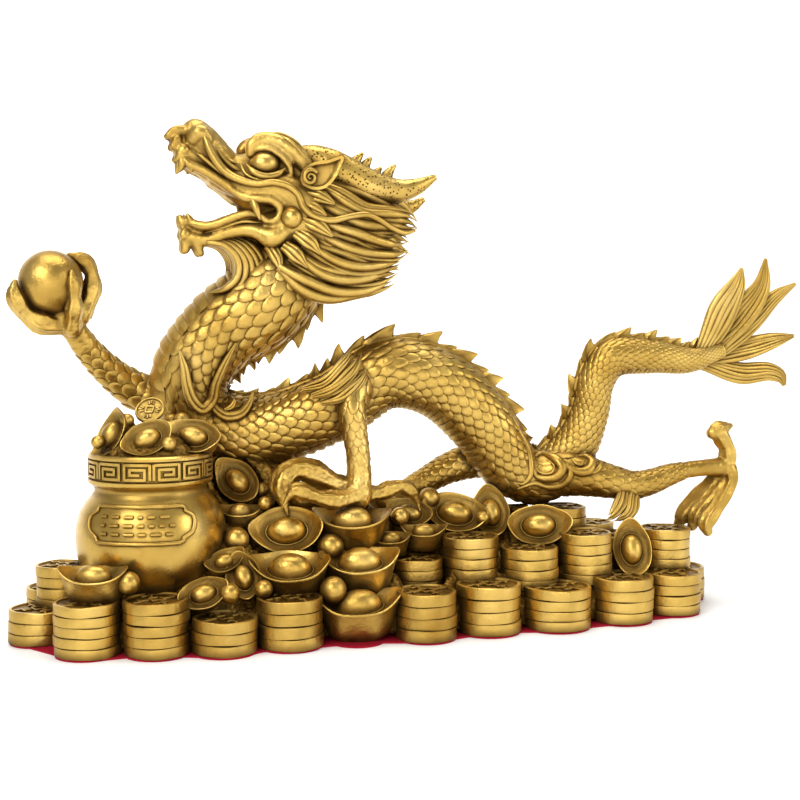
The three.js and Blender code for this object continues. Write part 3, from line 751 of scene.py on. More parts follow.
# %% Tufts and the lifted ball
ELBOW_TUFT = [
    [(-49, -6, 109, 1.2), (-40.4, -9.6, 111.6, 2.6), (-34, -11, 117, 2.8), (-28.4, -10, 123, 2.2),
     (-24, -7, 129, 0.5)],
    [(-45, -8, 106, 1.2), (-37, -11.4, 108.6, 2.6), (-30.6, -12, 113.6, 2.8), (-25, -11, 119.6, 2),
     (-21.4, -8, 126, 0.5)],
    [(-41, -9, 103, 1.2), (-33.6, -12, 105.4, 2.6), (-27.6, -12.6, 109.6, 2.6), (-22, -12, 115, 1.8),
     (-18, -9, 121, 0.5)],
]
HOCK_TUFT = [
    [(107, -20, 57, 2.4), (103.6, -23, 50.4, 2.6), (99.4, -24.4, 46.8, 1.9), (95, -25, 44.8, 0.6)],
    [(111, -20.6, 56.4, 2.4), (108, -23.4, 49.4, 2.6), (103.6, -24.4, 45.6, 1.9), (98.8, -25, 43.6, 0.6)],
    [(114.4, -20, 55.6, 2), (111.8, -22.6, 48.4, 2.3), (108, -23.8, 44.6, 1.8), (103.2, -24.4, 42.6, 0.6)],
]
tuft_lines = []
for strand_count, tuft in ((4, ELBOW_TUFT), (3, HOCK_TUFT)):
    for curl in tuft:
        tuft_lines += lock(curl, strand_count, fill=1.4, bulge=-0.3, wave=0.12, uneven=0.2)
tufts = rods("tufts", tuft_lines, sides=8)
lifted_ball = ball(BALL, 14.5, segments=48)
limbs = gather("dragon_limbs", [
    lifted_ball, tufts, *ball_arm, ball_paw, *front_leg, front_paw, *hind_leg, hind_paw, *far_leg, far_paw,
])
finish_with(limbs, cast_brass)

# %% [markdown]
# ## Head
# The head is the part that a carver spends longest on. Its large forms are blocked out as clay: rods for
# snout, brows, lips and jaw, melted and pushed uneven in the same way as the paws. Eyes, teeth, whiskers,
# horns and hair are crisp, so they are added after the melting.

# %% Middle of the head
HEAD_Y = 8


def beside(hand, stations):
    """Stations beside the head's middle: x, distance from the middle, z and radius."""
    return [(x, HEAD_Y + hand * off, z, r) for x, off, z, r in stations]


# Skull and snout, upper jaw, lower jaw and throat.
MIDDLE_CLAY = [
    [(-94.6, 0, 225.2, 6.8), (-91, 0, 221.6, 7.6), (-86, 0, 215, 8.4), (-80, 0, 209, 8.4),
     (-73, 0, 207.4, 9.4), (-62, 0, 207.5, 13), (-48, 0, 203, 17), (-34, 0, 193, 17), (-18, 0, 182, 12)],
    [(-101, 0, 217.6, 4.6), (-97, 0, 215, 6), (-90, 0, 211, 6.4), (-80, 0, 204.5, 7.4),
     (-68, 0, 199.6, 10), (-56, 0, 194, 12)],
    [(-98, 0, 180, 4.6), (-90, 0, 179, 4), (-80, 0, 182, 4.4), (-68, 0, 183, 7), (-56, 0, 182, 11),
     (-46, 0, 180, 15)],
    [(-74, 0, 178, 5), (-68, 0, 168, 9), (-68, 0, 157, 10), (-72, 0, 148, 10)],
]
print(len(MIDDLE_CLAY), "rods in the middle of the head")

# %% Sides of the head
# Cheek, jaw root, brow, lid, upper lip, lower lip, jaw edge, nostril, nose curl, and small lumps.
SIDE_CLAY = [
    [(-86, 4, 205, 4.6), (-76, 7.6, 201.5, 6), (-66, 11, 200.5, 7.4), (-56, 12.5, 199, 8.4),
     (-46, 13, 192, 11)],
    [(-70, 8, 183, 5), (-60, 11, 183, 7.4), (-50, 13, 184, 9.5), (-40, 13, 182, 11), (-26, 12, 176, 11)],
    [(-71.4, 10.6, 216, 2.6), (-71, 10.6, 219.6, 3.2), (-66.2, 10.4, 222, 3.8), (-58.7, 12, 220.8, 4.2),
     (-53, 14.4, 216.8, 4.2), (-48, 16.6, 211.4, 3.6), (-47, 18, 207.4, 2.2)],
    [(-69.6, 12, 217.4, 1.4), (-65, 14, 218, 1.6), (-59.6, 15.6, 215.4, 1.6), (-55.6, 17, 210.6, 1.6),
     (-54.6, 17.6, 206.6, 1.2)],
    [(-102.4, 3.6, 214.6, 2.2), (-98.6, 5, 211, 2.3), (-91, 7, 207.4, 2.4), (-82.6, 9.8, 201.6, 2.4),
     (-75.5, 13, 196.2, 2.2), (-70, 16, 195.2, 2.2), (-64.6, 17.6, 195.2, 2.1), (-60, 18, 191.6, 1.9),
     (-60.8, 17.8, 186.6, 1.8), (-65, 17.4, 185, 1.6), (-68.4, 17, 187.4, 1.4)],
    [(-99.4, 3.4, 185.6, 2), (-94, 6.4, 183.4, 2.2), (-88.8, 8.6, 183.6, 2.2), (-80.5, 11.4, 186.8, 2.1),
     (-74, 13.6, 188.8, 1.8), (-69.6, 15, 188.4, 1.4)],
    [(-98, 3, 178.2, 3.2), (-90, 6, 177, 2.8), (-82.8, 8.8, 180, 2.9), (-74.4, 11.4, 181.6, 3.2),
     (-68, 13.6, 180.4, 3.8), (-63, 15.2, 178, 5.2), (-58, 16.4, 180.8, 4.4)],
    [(-96.4, 4, 222.4, 3.6), (-93.4, 5.6, 224.8, 4), (-90.4, 6.4, 222, 3), (-90.6, 7, 218.4, 2)],
    [(-99.6, 1.6, 226, 2.6), (-104.6, 1.8, 226, 2), (-107.4, 1.4, 223.4, 1.7)],
    [(-103.6, 3, 221.6, 2.4), (-105.4, 3, 218.6, 1.9)], [(-101, 4, 217, 3), (-103.4, 4, 213.4, 1.8)],
    [(-100, 2, 176, 3), (-100.4, 2.4, 172.6, 2.2)], [(-95, 4, 175.4, 2.6), (-93.6, 4, 171, 1.7)],
    [(-101.6, 2, 184, 2.2), (-102.6, 2, 187.4, 1.4)], [(-100.6, 3.6, 180, 2.6), (-101, 4, 179, 2.4)],
]
print(len(SIDE_CLAY), "rods on each side of the head")

# %% Melt the head
clay_lines = [flow(beside(NEAR, stations), 24) for stations in MIDDLE_CLAY]
for hand in (NEAR, FAR):
    clay_lines += [flow(beside(hand, stations), 24) for stations in SIDE_CLAY]
clay = crumbled(melted("head_clay", clay_lines, [], 0.8, 2), 3, 0.5)
print("head clay", triangles(clay), "triangles")

# %% [markdown]
# ## Face
# A long whisker runs from the nostril over the cheek into the mane, and carved folds follow it round the
# eye and along the lips. They are thin rods whose ends sink into the skin. The teeth are short rods that
# end in a point, and a flat spiral winds in each ear.

# %% Whisker and folds
def pointed(line):
    """Thins a rod to a point at both ends, so that it sinks into the skin like a carved fold."""
    along = np.linspace(0, 1, len(line))
    line[:, 3] *= np.clip(0.1 + 5 * np.minimum(along, 1 - along), 0, 1)
    return line


WHISKER = [
    (-92.8, 7.4, 226.8, 0.5), (-91.2, 8.4, 220.8, 1.7), (-87.7, 9.8, 212.8, 2), (-82.9, 11.8, 206.8, 1.9),
    (-76.6, 14.8, 203.3, 1.8), (-70.1, 17.2, 201.8, 1.7), (-63.5, 19.2, 202.5, 1.7),
    (-56.7, 20.6, 200.9, 1.7), (-52.6, 21.6, 197.5, 1.7), (-50.2, 22.6, 191.5, 1.7),
    (-45.2, 24, 187.3, 1.6), (-38.3, 25.4, 185.6, 1.6), (-29.6, 26.2, 187.5, 1.5),
    (-21.5, 26.2, 188.5, 1.5), (-15.1, 25.6, 186, 1.4), (-9.3, 24.6, 182.7, 1.3),
    (-2.6, 23.4, 180.6, 1.1), (3, 21.6, 181.8, 0.5),
]
CREASES = [
    [(-74.4, 13.4, 211, 0.9), (-71.6, 16, 207.2, 1.5), (-66.4, 17.4, 205.2, 1.7), (-61, 17.6, 206.2, 1.6),
     (-57, 17.4, 209.4, 1)],
    [(-77, 11.6, 212, 0.6), (-74.6, 14, 206.4, 0.9), (-70, 16.6, 203.8, 0.9), (-64, 18, 203.4, 0.6)],
    [(-87, 7.6, 219, 0.7), (-83.6, 8.6, 213.4, 1), (-79.4, 10, 209.4, 1), (-75.6, 11.6, 207.6, 0.6)],
    [(-84.4, 6.4, 217.4, 0.6), (-81, 7.6, 213, 0.9), (-77.6, 9.4, 211.4, 0.6)],
    [(-96, 6.4, 216, 0.7), (-92.4, 8, 213.4, 1), (-87.6, 9.4, 209.2, 1), (-82, 11.6, 204.4, 0.6)],
    [(-60, 19, 197.6, 0.7), (-55.4, 20, 196, 1.1), (-50.6, 21.2, 191, 1.2), (-48.6, 21.8, 185.6, 1.1),
     (-50, 21.4, 180.6, 0.7)],
    [(-92, 7, 180.2, 0.7), (-84, 10, 182.6, 0.9), (-76, 12.6, 185.2, 0.9), (-68, 15.4, 184.6, 0.6)],
    [(-58.6, 15, 224, 0.7), (-53.4, 17, 220, 1), (-49.4, 18.6, 215, 0.9), (-47.4, 19.6, 211, 0.6)],
    [(-64, 12.6, 225.2, 0.6), (-58, 13.4, 224.6, 0.9), (-52, 15.4, 221.4, 0.8), (-48, 17, 217, 0.5)],
]
print(len(CREASES), "folds on each side of the face")

# %% Teeth and spirals
def spiral(x, off, z, radius, turns, hand, rod):
    """A flat spiral on the side of the head, wound inwards."""
    steps = np.linspace(0, 1, 36)
    angle = 2 * math.pi * turns * steps + math.pi * 0.2
    reach = radius * (1 - 0.85 * steps)
    y = HEAD_Y + hand * (off + 0.25 * reach)
    thick = rod * (1 - 0.35 * steps)
    return np.column_stack([x + reach * np.cos(angle), y, z + reach * np.sin(angle), thick])


TEETH = [
    [(-71.6, 15.4, 194.4, 1.9), (-70.4, 17.2, 190, 1.6), (-69, 17.6, 186, 0.5)],
    [(-101.4, 4, 213, 2.4), (-101.8, 4.4, 210.4, 2.1), (-102.6, 4.4, 208.2, 1.2), (-103.2, 4.2, 207, 0.3)],
    [(-97.6, 5.6, 211, 2), (-97.4, 5.8, 208.8, 1.5), (-97.6, 5.8, 207.2, 0.4)],
    [(-97.8, 4.6, 184.4, 1.9), (-98.6, 4.8, 186.6, 1.5), (-100, 4.8, 189, 0.3)],
]
face_lines = []
for hand in (NEAR, FAR):
    face_lines.append(flow(beside(hand, WHISKER), 70))
    face_lines += [pointed(flow(beside(hand, crease), 22)) for crease in CREASES]
    face_lines += [flow(beside(hand, tooth), 10) for tooth in TEETH]
    face_lines.append(spiral(-47.4, 23.6, 204.8, 3.6, 1.7, hand, 1.05))
face_rods = rods("face_rods", face_lines, sides=10)
print("face rods", triangles(face_rods), "triangles")

# %% Eyes and cheek balls
EYE_X, EYE_OFF, EYE_Z = -65.6, 12, 211
face_balls = []
for hand in (NEAR, FAR):
    socket = (EYE_X, HEAD_Y + hand * EYE_OFF, EYE_Z)
    eye = ball(socket, 6.2)
    bpy.ops.object.mode_set(mode="EDIT")
    bpy.ops.mesh.select_all(action="SELECT")
    bpy.ops.transform.resize(value=(1.12, 1, 0.9), center_override=in_frame(socket))
    bpy.ops.object.mode_set(mode="OBJECT")
    face_balls += [eye, ball((-54.4, HEAD_Y + hand * 18.4, 186.8), 5.5)]
print(len(face_balls), "eyes and cheek balls")

# %% [markdown]
# ## Ears and jaw frill
# An ear is a thin leaf with a thick rim. Its outline is filled, drawn to thickness and inset, so that the
# rim stays proud of a hollow middle. The frill behind the jaw is a row of short pointed locks.

# %% Ears
def leaf(name, outline, lift, rim, hollow):
    """A leaf on each side of the head, from an outline of x, distance from the middle and z."""
    pieces = []
    for hand in (NEAR, FAR):
        deselect_all()
        bpy.ops.mesh.primitive_circle_add(vertices=len(outline), radius=MM, fill_type="NGON")
        piece = bpy.context.object
        piece.name = name
        for point, (x, off, z) in zip(piece.data.vertices, outline):
            point.co = in_frame((x, HEAD_Y + hand * off, z))
        outward = Vector((0, hand * lift * MM, 0))
        bpy.ops.object.mode_set(mode="EDIT")
        bpy.ops.mesh.select_all(action="SELECT")
        bpy.ops.mesh.extrude_region_move(TRANSFORM_OT_translate={"value": outward})
        bpy.ops.mesh.inset(thickness=rim * MM)
        bpy.ops.mesh.inset(thickness=rim * 0.6 * MM)
        bpy.ops.transform.translate(value=outward * -hollow)
        bpy.ops.mesh.inset(thickness=rim * 1.2 * MM)
        bpy.ops.transform.translate(value=outward * -hollow * 0.4)
        bpy.ops.mesh.select_all(action="SELECT")
        bpy.ops.mesh.normals_make_consistent(inside=False)
        bpy.ops.object.mode_set(mode="OBJECT")
        bpy.ops.object.shade_smooth_by_angle(angle=math.radians(50))
        pieces.append(piece)
    return pieces


EAR = [
    (-51.4, 20, 204, 1), (-50.4, 20.4, 208, 1), (-46, 22, 211.4, 1), (-40, 24, 212.4, 1),
    (-33, 27, 214.2, 1), (-34.6, 26.4, 209, 1), (-37, 25.4, 204, 1), (-41, 23.4, 200, 1),
    (-46, 21.6, 199.4, 1), (-50.4, 20.4, 201.4, 1),
]
leaves = leaf("ear", flow(EAR, 30)[:, :3], 1.8, 1.3, 0.9)
print(len(leaves), "ears")

# %% Jaw frill
JAW_FRILL = [
    [(-48, 19.6, 198.4, 2.4), (-42.6, 23, 196.4, 2.8), (-36.6, 25.4, 193.2, 0.5)],
    [(-49.6, 20.4, 193, 2.2), (-45, 23.4, 191, 2.4), (-40.4, 25.4, 187.6, 0.5)],
    [(-49.6, 20.6, 186.6, 2.6), (-44, 24, 183.6, 3), (-37.6, 26, 178.6, 0.5)],
    [(-53, 19.6, 180.4, 2.6), (-48, 23, 176.4, 3), (-43, 24.6, 170.6, 0.5)],
    [(-58, 18, 174.6, 2.6), (-53.6, 21.4, 170.4, 3), (-48.6, 23, 164.4, 0.5)],
    [(-64, 14.4, 174.6, 2.4), (-61.4, 17.6, 169.6, 2.6), (-60, 19, 163, 0.5)],
]
jaw_lines = []
for hand in (NEAR, FAR):
    for stations in JAW_FRILL:
        jaw_lines += lock(beside(hand, stations), 3, fill=1.5, bulge=0.25 * hand, wave=0.05, count=14)
leaves.append(rods("jaw_frill", jaw_lines, sides=10))
print(len(JAW_FRILL), "locks behind each side of the jaw")

# %% [markdown]
# ## Horns and hair
# Two thick horns sweep back over the mane, punched all over with pits and edged with short spikes. The
# mane is a mass of locks. Every lock is a few wavy strands of uneven length that run to a point. The
# beard hangs under the jaw in bowed strands.

# %% Horns
# Foot and tip of each spike, as x and z.
HORN_SPIKES = [
    (-25.4, 210, -20, 217.4), (-20.6, 208, -16, 215.6), (-15.6, 205, -11.2, 211), (-10, 204, -4.4, 212.4),
]
horn_lines = []
for hand in (NEAR, FAR):
    droop, reach = (0, 0) if hand == NEAR else (8, 6)
    horn = [
        (-51, 7, 214.6, 5), (-44, 8.6, 214.6, 6.6), (-36, 10.6, 212.2, 7.6),
        (-28, 12.6, 208.2 - droop * 0.15, 7.8), (-20, 14, 204 - droop * 0.35, 7.6),
        (-11.4, 15, 201 - droop * 0.6, 7), (-3 + reach * 0.6, 16, 200.4 - droop * 0.8, 5.6),
        (6 + reach, 17, 202.8 - droop, 3.8), (14.4 + reach, 17, 207.2 - droop, 1.4),
    ]
    horn_lines.append(flow(beside(hand, horn), 48))
    for foot_x, foot_z, tip_x, tip_z in HORN_SPIKES:
        middle = (foot_x * 0.6 + tip_x * 0.4, 14, (foot_z + tip_z) / 2 - droop * 0.4, 2.5)
        spike = [(foot_x, 13.6, foot_z - droop * 0.4, 3.8), middle, (tip_x, 14, tip_z - droop * 0.4, 0.8)]
        horn_lines.append(flow(beside(hand, spike), 12))
horns = finish_with(rods("horns", horn_lines, sides=16), pitted_brass)
print("horns", triangles(horns), "triangles")

# %% Mane
# Seven long locks on the side of the neck, then fuller ones that close the mane inwards.
MANE = [
    [(-43, 16, 201, 2.6), (-32, 20.4, 195.5, 4), (-21.8, 22, 190.4, 4.2), (-9.9, 21.6, 188.6, 3.8),
     (2, 19.6, 187, 2.6), (10, 16.6, 180, 0.9)],
    [(-44, 18, 194, 2.6), (-33, 21.6, 189.4, 4), (-21, 22.6, 184.2, 4.2), (-8, 21, 183, 3.4),
     (3, 18.6, 183.6, 2), (8.4, 16.6, 186, 0.8)],
    [(-46, 19, 187.6, 2.6), (-33, 22.4, 182.6, 4), (-19.4, 22.6, 177, 4.2), (-7, 21, 176, 3.2),
     (2, 18.6, 177.4, 0.8)],
    [(-46, 19.4, 181.4, 2.6), (-32, 22.6, 175.4, 4), (-18, 22.4, 170.4, 4), (-6, 20, 171, 3),
     (2, 18, 174, 0.8)],
    [(-50, 19, 175.4, 2.6), (-36, 22.4, 168.6, 4), (-20, 21.6, 164.6, 4), (-8, 19.6, 166.4, 3),
     (-0.6, 17.6, 169.4, 0.8)],
    [(-55, 18, 170.4, 2.6), (-42, 21.4, 162.6, 4), (-26, 20.6, 159, 4), (-11, 19, 161.6, 3),
     (-1.4, 17, 165, 0.8)],
    [(-60, 16.4, 165.4, 2.4), (-50, 19.6, 158.4, 3.8), (-38, 20, 154, 4), (-23, 19, 154.6, 3.4),
     (-10, 17.4, 157.4, 2.4), (-3, 16, 160.4, 0.8)],
    [(-41, 3.6, 213, 3), (-28, 5, 206, 5.4), (-12, 6, 197.6, 5.4), (2, 6, 191, 3.6), (11, 5, 184, 0.9)],
    [(-40, 11, 206, 3), (-26, 13.6, 200, 5), (-10, 14.4, 193.6, 4.4), (5, 12.4, 188, 0.9)],
    [(-36, 13, 180, 4), (-22, 15, 172, 5.4), (-8, 13, 168, 4), (3, 10, 168.6, 0.9)],
    [(-36, 7, 176, 4), (-20, 8, 167, 5.4), (-6, 7, 163, 4), (3, 5, 164, 0.9)],
    [(-36, 6, 190, 4), (-18, 8, 182, 6), (-2, 7, 176, 4), (8, 5, 172, 0.9)],
    [(-44, 2, 216, 3), (-28, 2.4, 209, 6), (-12, 2.4, 199, 6), (4, 2, 187, 1.2)],
    [(-34, 2, 198, 5), (-18, 3, 190, 7), (-2, 3, 181, 5), (8, 2, 176, 1.2)],
    [(-34, 2, 182, 5), (-18, 3, 174, 7), (-4, 3, 168, 5), (4, 2, 167, 1.2)],
]
hair_lines = []
for hand in (NEAR, FAR):
    for k, stations in enumerate(MANE):
        proud = 0.25 if k % 2 else 0.6
        hair_lines += lock(beside(hand, stations), 3, 1.6, proud * hand, wave=0.22, count=32, uneven=0.2)
print(len(hair_lines), "strands in the mane")

# %% Beard
# The beard's front and back edge, as x and z.
BEARD_OUTER = [(-91, 176), (-83, 174.2), (-78, 167.6), (-78.6, 159.6), (-83.6, 155), (-89.6, 153.2)]
BEARD_INNER = [(-79, 179), (-70.6, 174), (-65.6, 165), (-66, 155.6), (-69.6, 149.4), (-75, 145.4)]
for off in (-11, -6.6, -2.2, 2.2, 6.6, 11):
    for share in np.linspace(0, 1, 5):
        bowed = np.array(BEARD_OUTER) * (1 - share) + np.array(BEARD_INNER) * share
        swell = np.array([1.2, 1.7, 1.9, 1.9, 1.6, 0.4]) * chance.uniform(0.85, 1.15)
        aside = np.array([0.7, 0.9, 1, 1, 0.9, 0.5]) * off * (1 - 0.1 * share)
        stations = [(x, HEAD_Y + y, z, r) for (x, z), y, r in zip(bowed, aside, swell)]
        hair_lines.append(flow(stations, 24))
hair = rods("hair", hair_lines, sides=8)
print("hair", triangles(hair), "triangles")

# %% Join the head
for piece in (clay, *face_balls, face_rods, *leaves, hair):
    finish_with(piece, cast_brass)
dragon_head = gather("dragon_head", [clay, *face_balls, face_rods, *leaves, hair, horns])

# %% [markdown]
# ## Scrolls on shoulder and hip
# Ribbons curl over the shoulder and the hip, where a carver hides the joint of a limb. At the shoulder
# they are locks of two strands. At the hip they are swelling crescents, laid on the skin by rays from the
# show side, so core and scales are joined to one piece first.

# %% Join the body
dragon_body = finish_with(gather("dragon_body", [body_core, body_scales]), cast_brass)

# %% Scrolls
SCROLLS = [
    [(-104, 2, 127, 0.4), (-101.6, 3.2, 119, 1.5), (-100.2, 4.8, 111, 2), (-97.4, 6.8, 103.8, 2.2),
     (-92.8, 8.4, 100, 2.2), (-88.6, 8.4, 103.4, 2.1), (-87.2, 5.4, 111, 1.8), (-84, 0.6, 120.5, 1.4),
     (-79.4, -4, 130.6, 0.4)],
    [(-89.6, 9, 104.6, 0.6), (-86.4, 9.6, 99.6, 1.7), (-81.6, 9, 96.6, 2), (-75.4, 8.4, 97.4, 1.9),
     (-70.6, 10, 102, 1.3), (-68.4, 11.6, 107, 0.4)],
    [(-82.4, 8.6, 99.4, 0.5), (-79, 8.4, 101, 1.1), (-77.6, 8, 104, 0.5)],
]
# Only x, z and radius, because a ray finds y.
HIP_SCROLLS = [
    [(55, 94, 0.5), (58.9, 86.2, 1.4), (63.1, 78.4, 1.7), (63.6, 70, 1.7), (62.8, 64.6, 1.6),
     (59.5, 61.3, 1.3), (56.6, 62.1, 0.5)],
    [(57.6, 58.6, 0.5), (60.8, 60.2, 1.3), (65.7, 61.6, 1.7), (71.5, 59.8, 1.8), (77.4, 60.7, 2),
     (80.6, 65, 1.9), (81, 69, 1.3), (79.6, 72, 0.5)],
    [(64.8, 71.6, 0.5), (64.6, 68, 1.1), (66.4, 65, 1.5), (70.3, 63.8, 2.1), (75.2, 65, 2.7),
     (77.6, 68.9, 2.9), (75.4, 73, 2.5), (70.6, 75, 1.5), (67, 74, 0.6)],
    [(66.8, 72.6, 0.4), (66.4, 68.6, 0.7), (69, 66.2, 0.8), (72.6, 67, 0.9), (74, 70, 0.8),
     (71.6, 72.6, 0.4)],
    [(76.6, 75, 0.5), (78.4, 71.6, 1.3), (81.4, 68.6, 1.9), (85.6, 67, 2.5), (90.2, 67.8, 2.7),
     (93.1, 71.4, 2.3), (91, 74.2, 1.4), (87.2, 74.4, 0.5)],
    [(88, 66, 1), (93.6, 67.4, 1.5), (97, 70.2, 1.2), (98.4, 72.6, 0.4)],
    [(83, 73.2, 0.4), (84.4, 71, 1), (87, 70.6, 1.1), (88.4, 72.2, 0.5)],
]
print(len(SCROLLS), "ribbons on the shoulder,", len(HIP_SCROLLS), "on the hip")

# %% Lay the scrolls
skins = [BVHTree.FromObject(piece, bpy.context.evaluated_depsgraph_get()) for piece in (limbs, dragon_body)]


def on_skin(x, z, radius):
    """A station half sunk in the skin of body or leg, found by looking straight at the show side."""
    eye = Vector(in_frame((x, -120, z)))
    hits = [tree.ray_cast(eye, Vector((0, 1, 0)))[0] for tree in skins]
    y = min(hit.y for hit in hits if hit) / MM - SHIFT[1]
    return x, y + 0.4 * radius, z, radius


scroll_lines = []
for stations in SCROLLS:
    scroll_lines += lock(stations, 2, fill=1.5, bulge=-0.25, count=44)
scroll_lines += [flow([on_skin(*station) for station in stations], 40) for stations in HIP_SCROLLS]
scrolls = rods("scrolls", scroll_lines, sides=12)
dragon_trim = gather("dragon_trim", [belly_plates, frill, frill_ridge, tail_fin, scrolls])
finish_with(dragon_trim, cast_brass)

# %% [markdown]
# ## Turned pieces
# Coins, ingots, the pot and the pearls are round about one axis. A profile could be spun, but drawing a
# filled circle upwards by extrude and resize gives a closed solid at once, with no seam to merge.

# %% Turned solids
def turned(name, profile, sides, angle=35):
    """A closed round solid about Z, drawn up ring by ring. The profile lists radius and height in mm."""
    deselect_all()
    radius, height = profile[0]
    bpy.ops.mesh.primitive_circle_add(vertices=sides, radius=radius * MM, fill_type="NGON")
    piece = bpy.context.object
    piece.name = name
    bpy.ops.object.mode_set(mode="EDIT")
    bpy.ops.transform.translate(value=(0, 0, height * MM))
    for next_radius, next_height in profile[1:]:
        rise = (0, 0, (next_height - height) * MM)
        bpy.ops.mesh.extrude_region_move(TRANSFORM_OT_translate={"value": rise})
        share = next_radius / radius
        bpy.ops.transform.resize(value=(share, share, 1), center_override=(0, 0, next_height * MM))
        radius, height = next_radius, next_height
    bpy.ops.mesh.select_all(action="SELECT")
    bpy.ops.mesh.normals_make_consistent(inside=False)
    bpy.ops.object.mode_set(mode="OBJECT")
    bpy.ops.object.shade_smooth_by_angle(angle=math.radians(angle))
    return piece


# %% [markdown]
# ## Coins
# The bed is carved as stacks of thick coins. One coin is turned with tight edges and a sunk gritty field,
# and a top coin also carries a square mark and short strokes that stand for worn signs. Every copy is
# shifted and tilted a little, as hand-laid stacks are.

# %% One coin
COIN_PROFILE = [
    (0.97, 0), (0.995, 0.05), (1, 0.2), (1, 0.8), (0.995, 0.95), (0.97, 1), (0.9, 1), (0.86, 0.84),
]


def coin_pattern():
    """A unit coin: radius one and height one, with tight edges and a sunk gritty field."""
    piece = turned("coin", [(r / MM, h / MM) for r, h in COIN_PROFILE], 32)
    for face in piece.data.polygons:
        face.material_index = 1 if face.center.z > 0.8 and len(face.vertices) > 4 else 0
    return piece


def coin_warp(x, y, base, radius, thick):
    """Lays one coin in its stack with a small seeded shift, tilt and uneven joint."""
    slip = np.array([chance.uniform(-0.3, 0.3), chance.uniform(-0.3, 0.3)])
    tilt = np.array([chance.uniform(-0.009, 0.009), chance.uniform(-0.009, 0.009)])
    phase = chance.uniform(0, 6)

    def warp(points):
        flat = points[:, :2] * radius
        swing = np.arctan2(points[:, 1], points[:, 0])
        sag = 0.10 * np.sin(3 * swing + phase) + 0.08 * np.sin(5 * swing + 2 * phase)
        high = base + points[:, 2] * thick * 0.99 + flat @ tilt + sag
        oval = (1 + 0.012 * np.sin(2 * swing + phase))[:, None]
        return in_frame(np.column_stack([flat * oval + slip + (x, y), high]))
    return warp


# %% Coins in stacks
FLOOR = 0.8
# x, y, radius, height and number of coins.
EDGE_STACKS = [
    (-168, -4, 13, 14, 3), (-150, -33, 14, 21.5, 5), (-122, -41, 14, 22.5, 5), (-94, -47, 14, 14, 3),
    (-65, -45, 14.5, 20.5, 4), (-4, -50, 13.5, 20.5, 4), (27, -47, 14.5, 21, 4), (60, -48, 15.5, 18, 4),
    (95, -45, 14.5, 20, 4), (125, -36, 14.5, 18.5, 4), (144, -8, 14, 15, 3), (136, 20, 15, 18, 4),
    (112, 38, 15, 16, 3), (82, 45, 15.5, 19, 4), (51, 47, 15.5, 16, 3), (20, 48, 15.5, 19, 4),
    (-11, 48, 15.5, 16, 3), (-42, 48, 15.5, 19, 4), (-73, 47, 15.5, 16, 3), (-104, 43, 15.5, 19, 4),
    (-134, 36, 15.5, 16, 3), (-158, 22, 14, 18, 4),
]
# x, y, height of the top, number of coins and radius.
UPPER_STACKS = [
    (-157, 5, 32.6, 5, 11.5), (0, -26, 32.1, 5, 11.5), (25.5, -27, 41.1, 5, 13),
    (52.5, -33, 35.6, 5, 13.5), (82, -31, 40.6, 5, 13), (130.5, -20, 38.6, 5, 12.5),
    (80, -7, 49.6, 5, 13), (112, -6, 34, 4, 13), (104, 12, 38, 4, 13), (58, 16, 46, 4, 13),
    (20, 30, 34, 4, 13), (-8, 32, 36, 4, 12),
]
COIN_THICK = 4.7
stacks = [(x, y, FLOOR, r, (height + 0.7) / count, count) for x, y, r, height, count in EDGE_STACKS]
stacks += [(x, y, top - count * COIN_THICK, r, COIN_THICK, count) for x, y, top, count, r in UPPER_STACKS]
coin_warps = []
tops = []
for x, y, base, radius, thick, count in stacks:
    for k in range(count):
        coin_warps.append(coin_warp(x, y, base + k * thick, radius, thick))
    tops.append((x, y, base + count * thick, radius))
coins = copies("coins", coin_pattern(), coin_warps, angle=35)
finish_with(coins, cast_brass, gritty_brass)
print(len(coin_warps), "coins")

# %% Strokes on the top coins
def bar_pattern():
    """A unit bar, one long, one wide and one high."""
    deselect_all()
    bpy.ops.mesh.primitive_cube_add(size=1)
    bpy.ops.object.mode_set(mode="EDIT")
    bpy.ops.mesh.select_all(action="SELECT")
    bpy.ops.transform.translate(value=(0, 0, 0.5))
    bpy.ops.mesh.subdivide(number_cuts=2)
    bpy.ops.object.mode_set(mode="OBJECT")
    return bpy.context.object


def bar_warp(x, y, z, length, width, high, degrees):
    """Lays a bar flat at a place, turned by some degrees, with its upper edges drawn in."""
    cos, sin = math.cos(math.radians(degrees)), math.sin(math.radians(degrees))

    def warp(points):
        soft = 1 - 0.3 * (points[:, 2] > 0.9)
        along, across = points[:, 0] * length * soft, points[:, 1] * width * soft
        places = [x + along * cos - across * sin, y + along * sin + across * cos, z + points[:, 2] * high]
        return in_frame(np.column_stack(places))
    return warp


FIELD_SINK = 1.0
stroke_warps = []
for x, y, top, radius in tops:
    field = top - FIELD_SINK
    for quarter in range(4):
        degrees = 90 * quarter + 20
        turn = math.radians(degrees)
        place = (x + 0.2 * radius * math.cos(turn), y + 0.2 * radius * math.sin(turn), field)
        stroke_warps.append(bar_warp(*place, 0.4 * radius, 0.9, 1.0, degrees + 90))
        for k in range(3):
            reach = radius * (0.40 + 0.15 * k)
            swing = turn + chance.uniform(-0.2, 0.2)
            place = (x + reach * math.cos(swing), y + reach * math.sin(swing), field)
            long = radius * chance.uniform(0.22, 0.4)
            stroke_warps.append(bar_warp(*place, long, 1.0, 1.05, degrees + 90 * (k % 2)))
strokes = finish_with(copies("coin_strokes", bar_pattern(), stroke_warps), cast_brass)
print(len(stroke_warps), "strokes on", len(tops), "top coins")

# %% [markdown]
# ## Ingots and pearls
# A boat-shaped ingot is turned as a deep bowl with a dome in its trough, pressed to an oval, and its two
# prows are pulled up to points. The pearls are small balls.

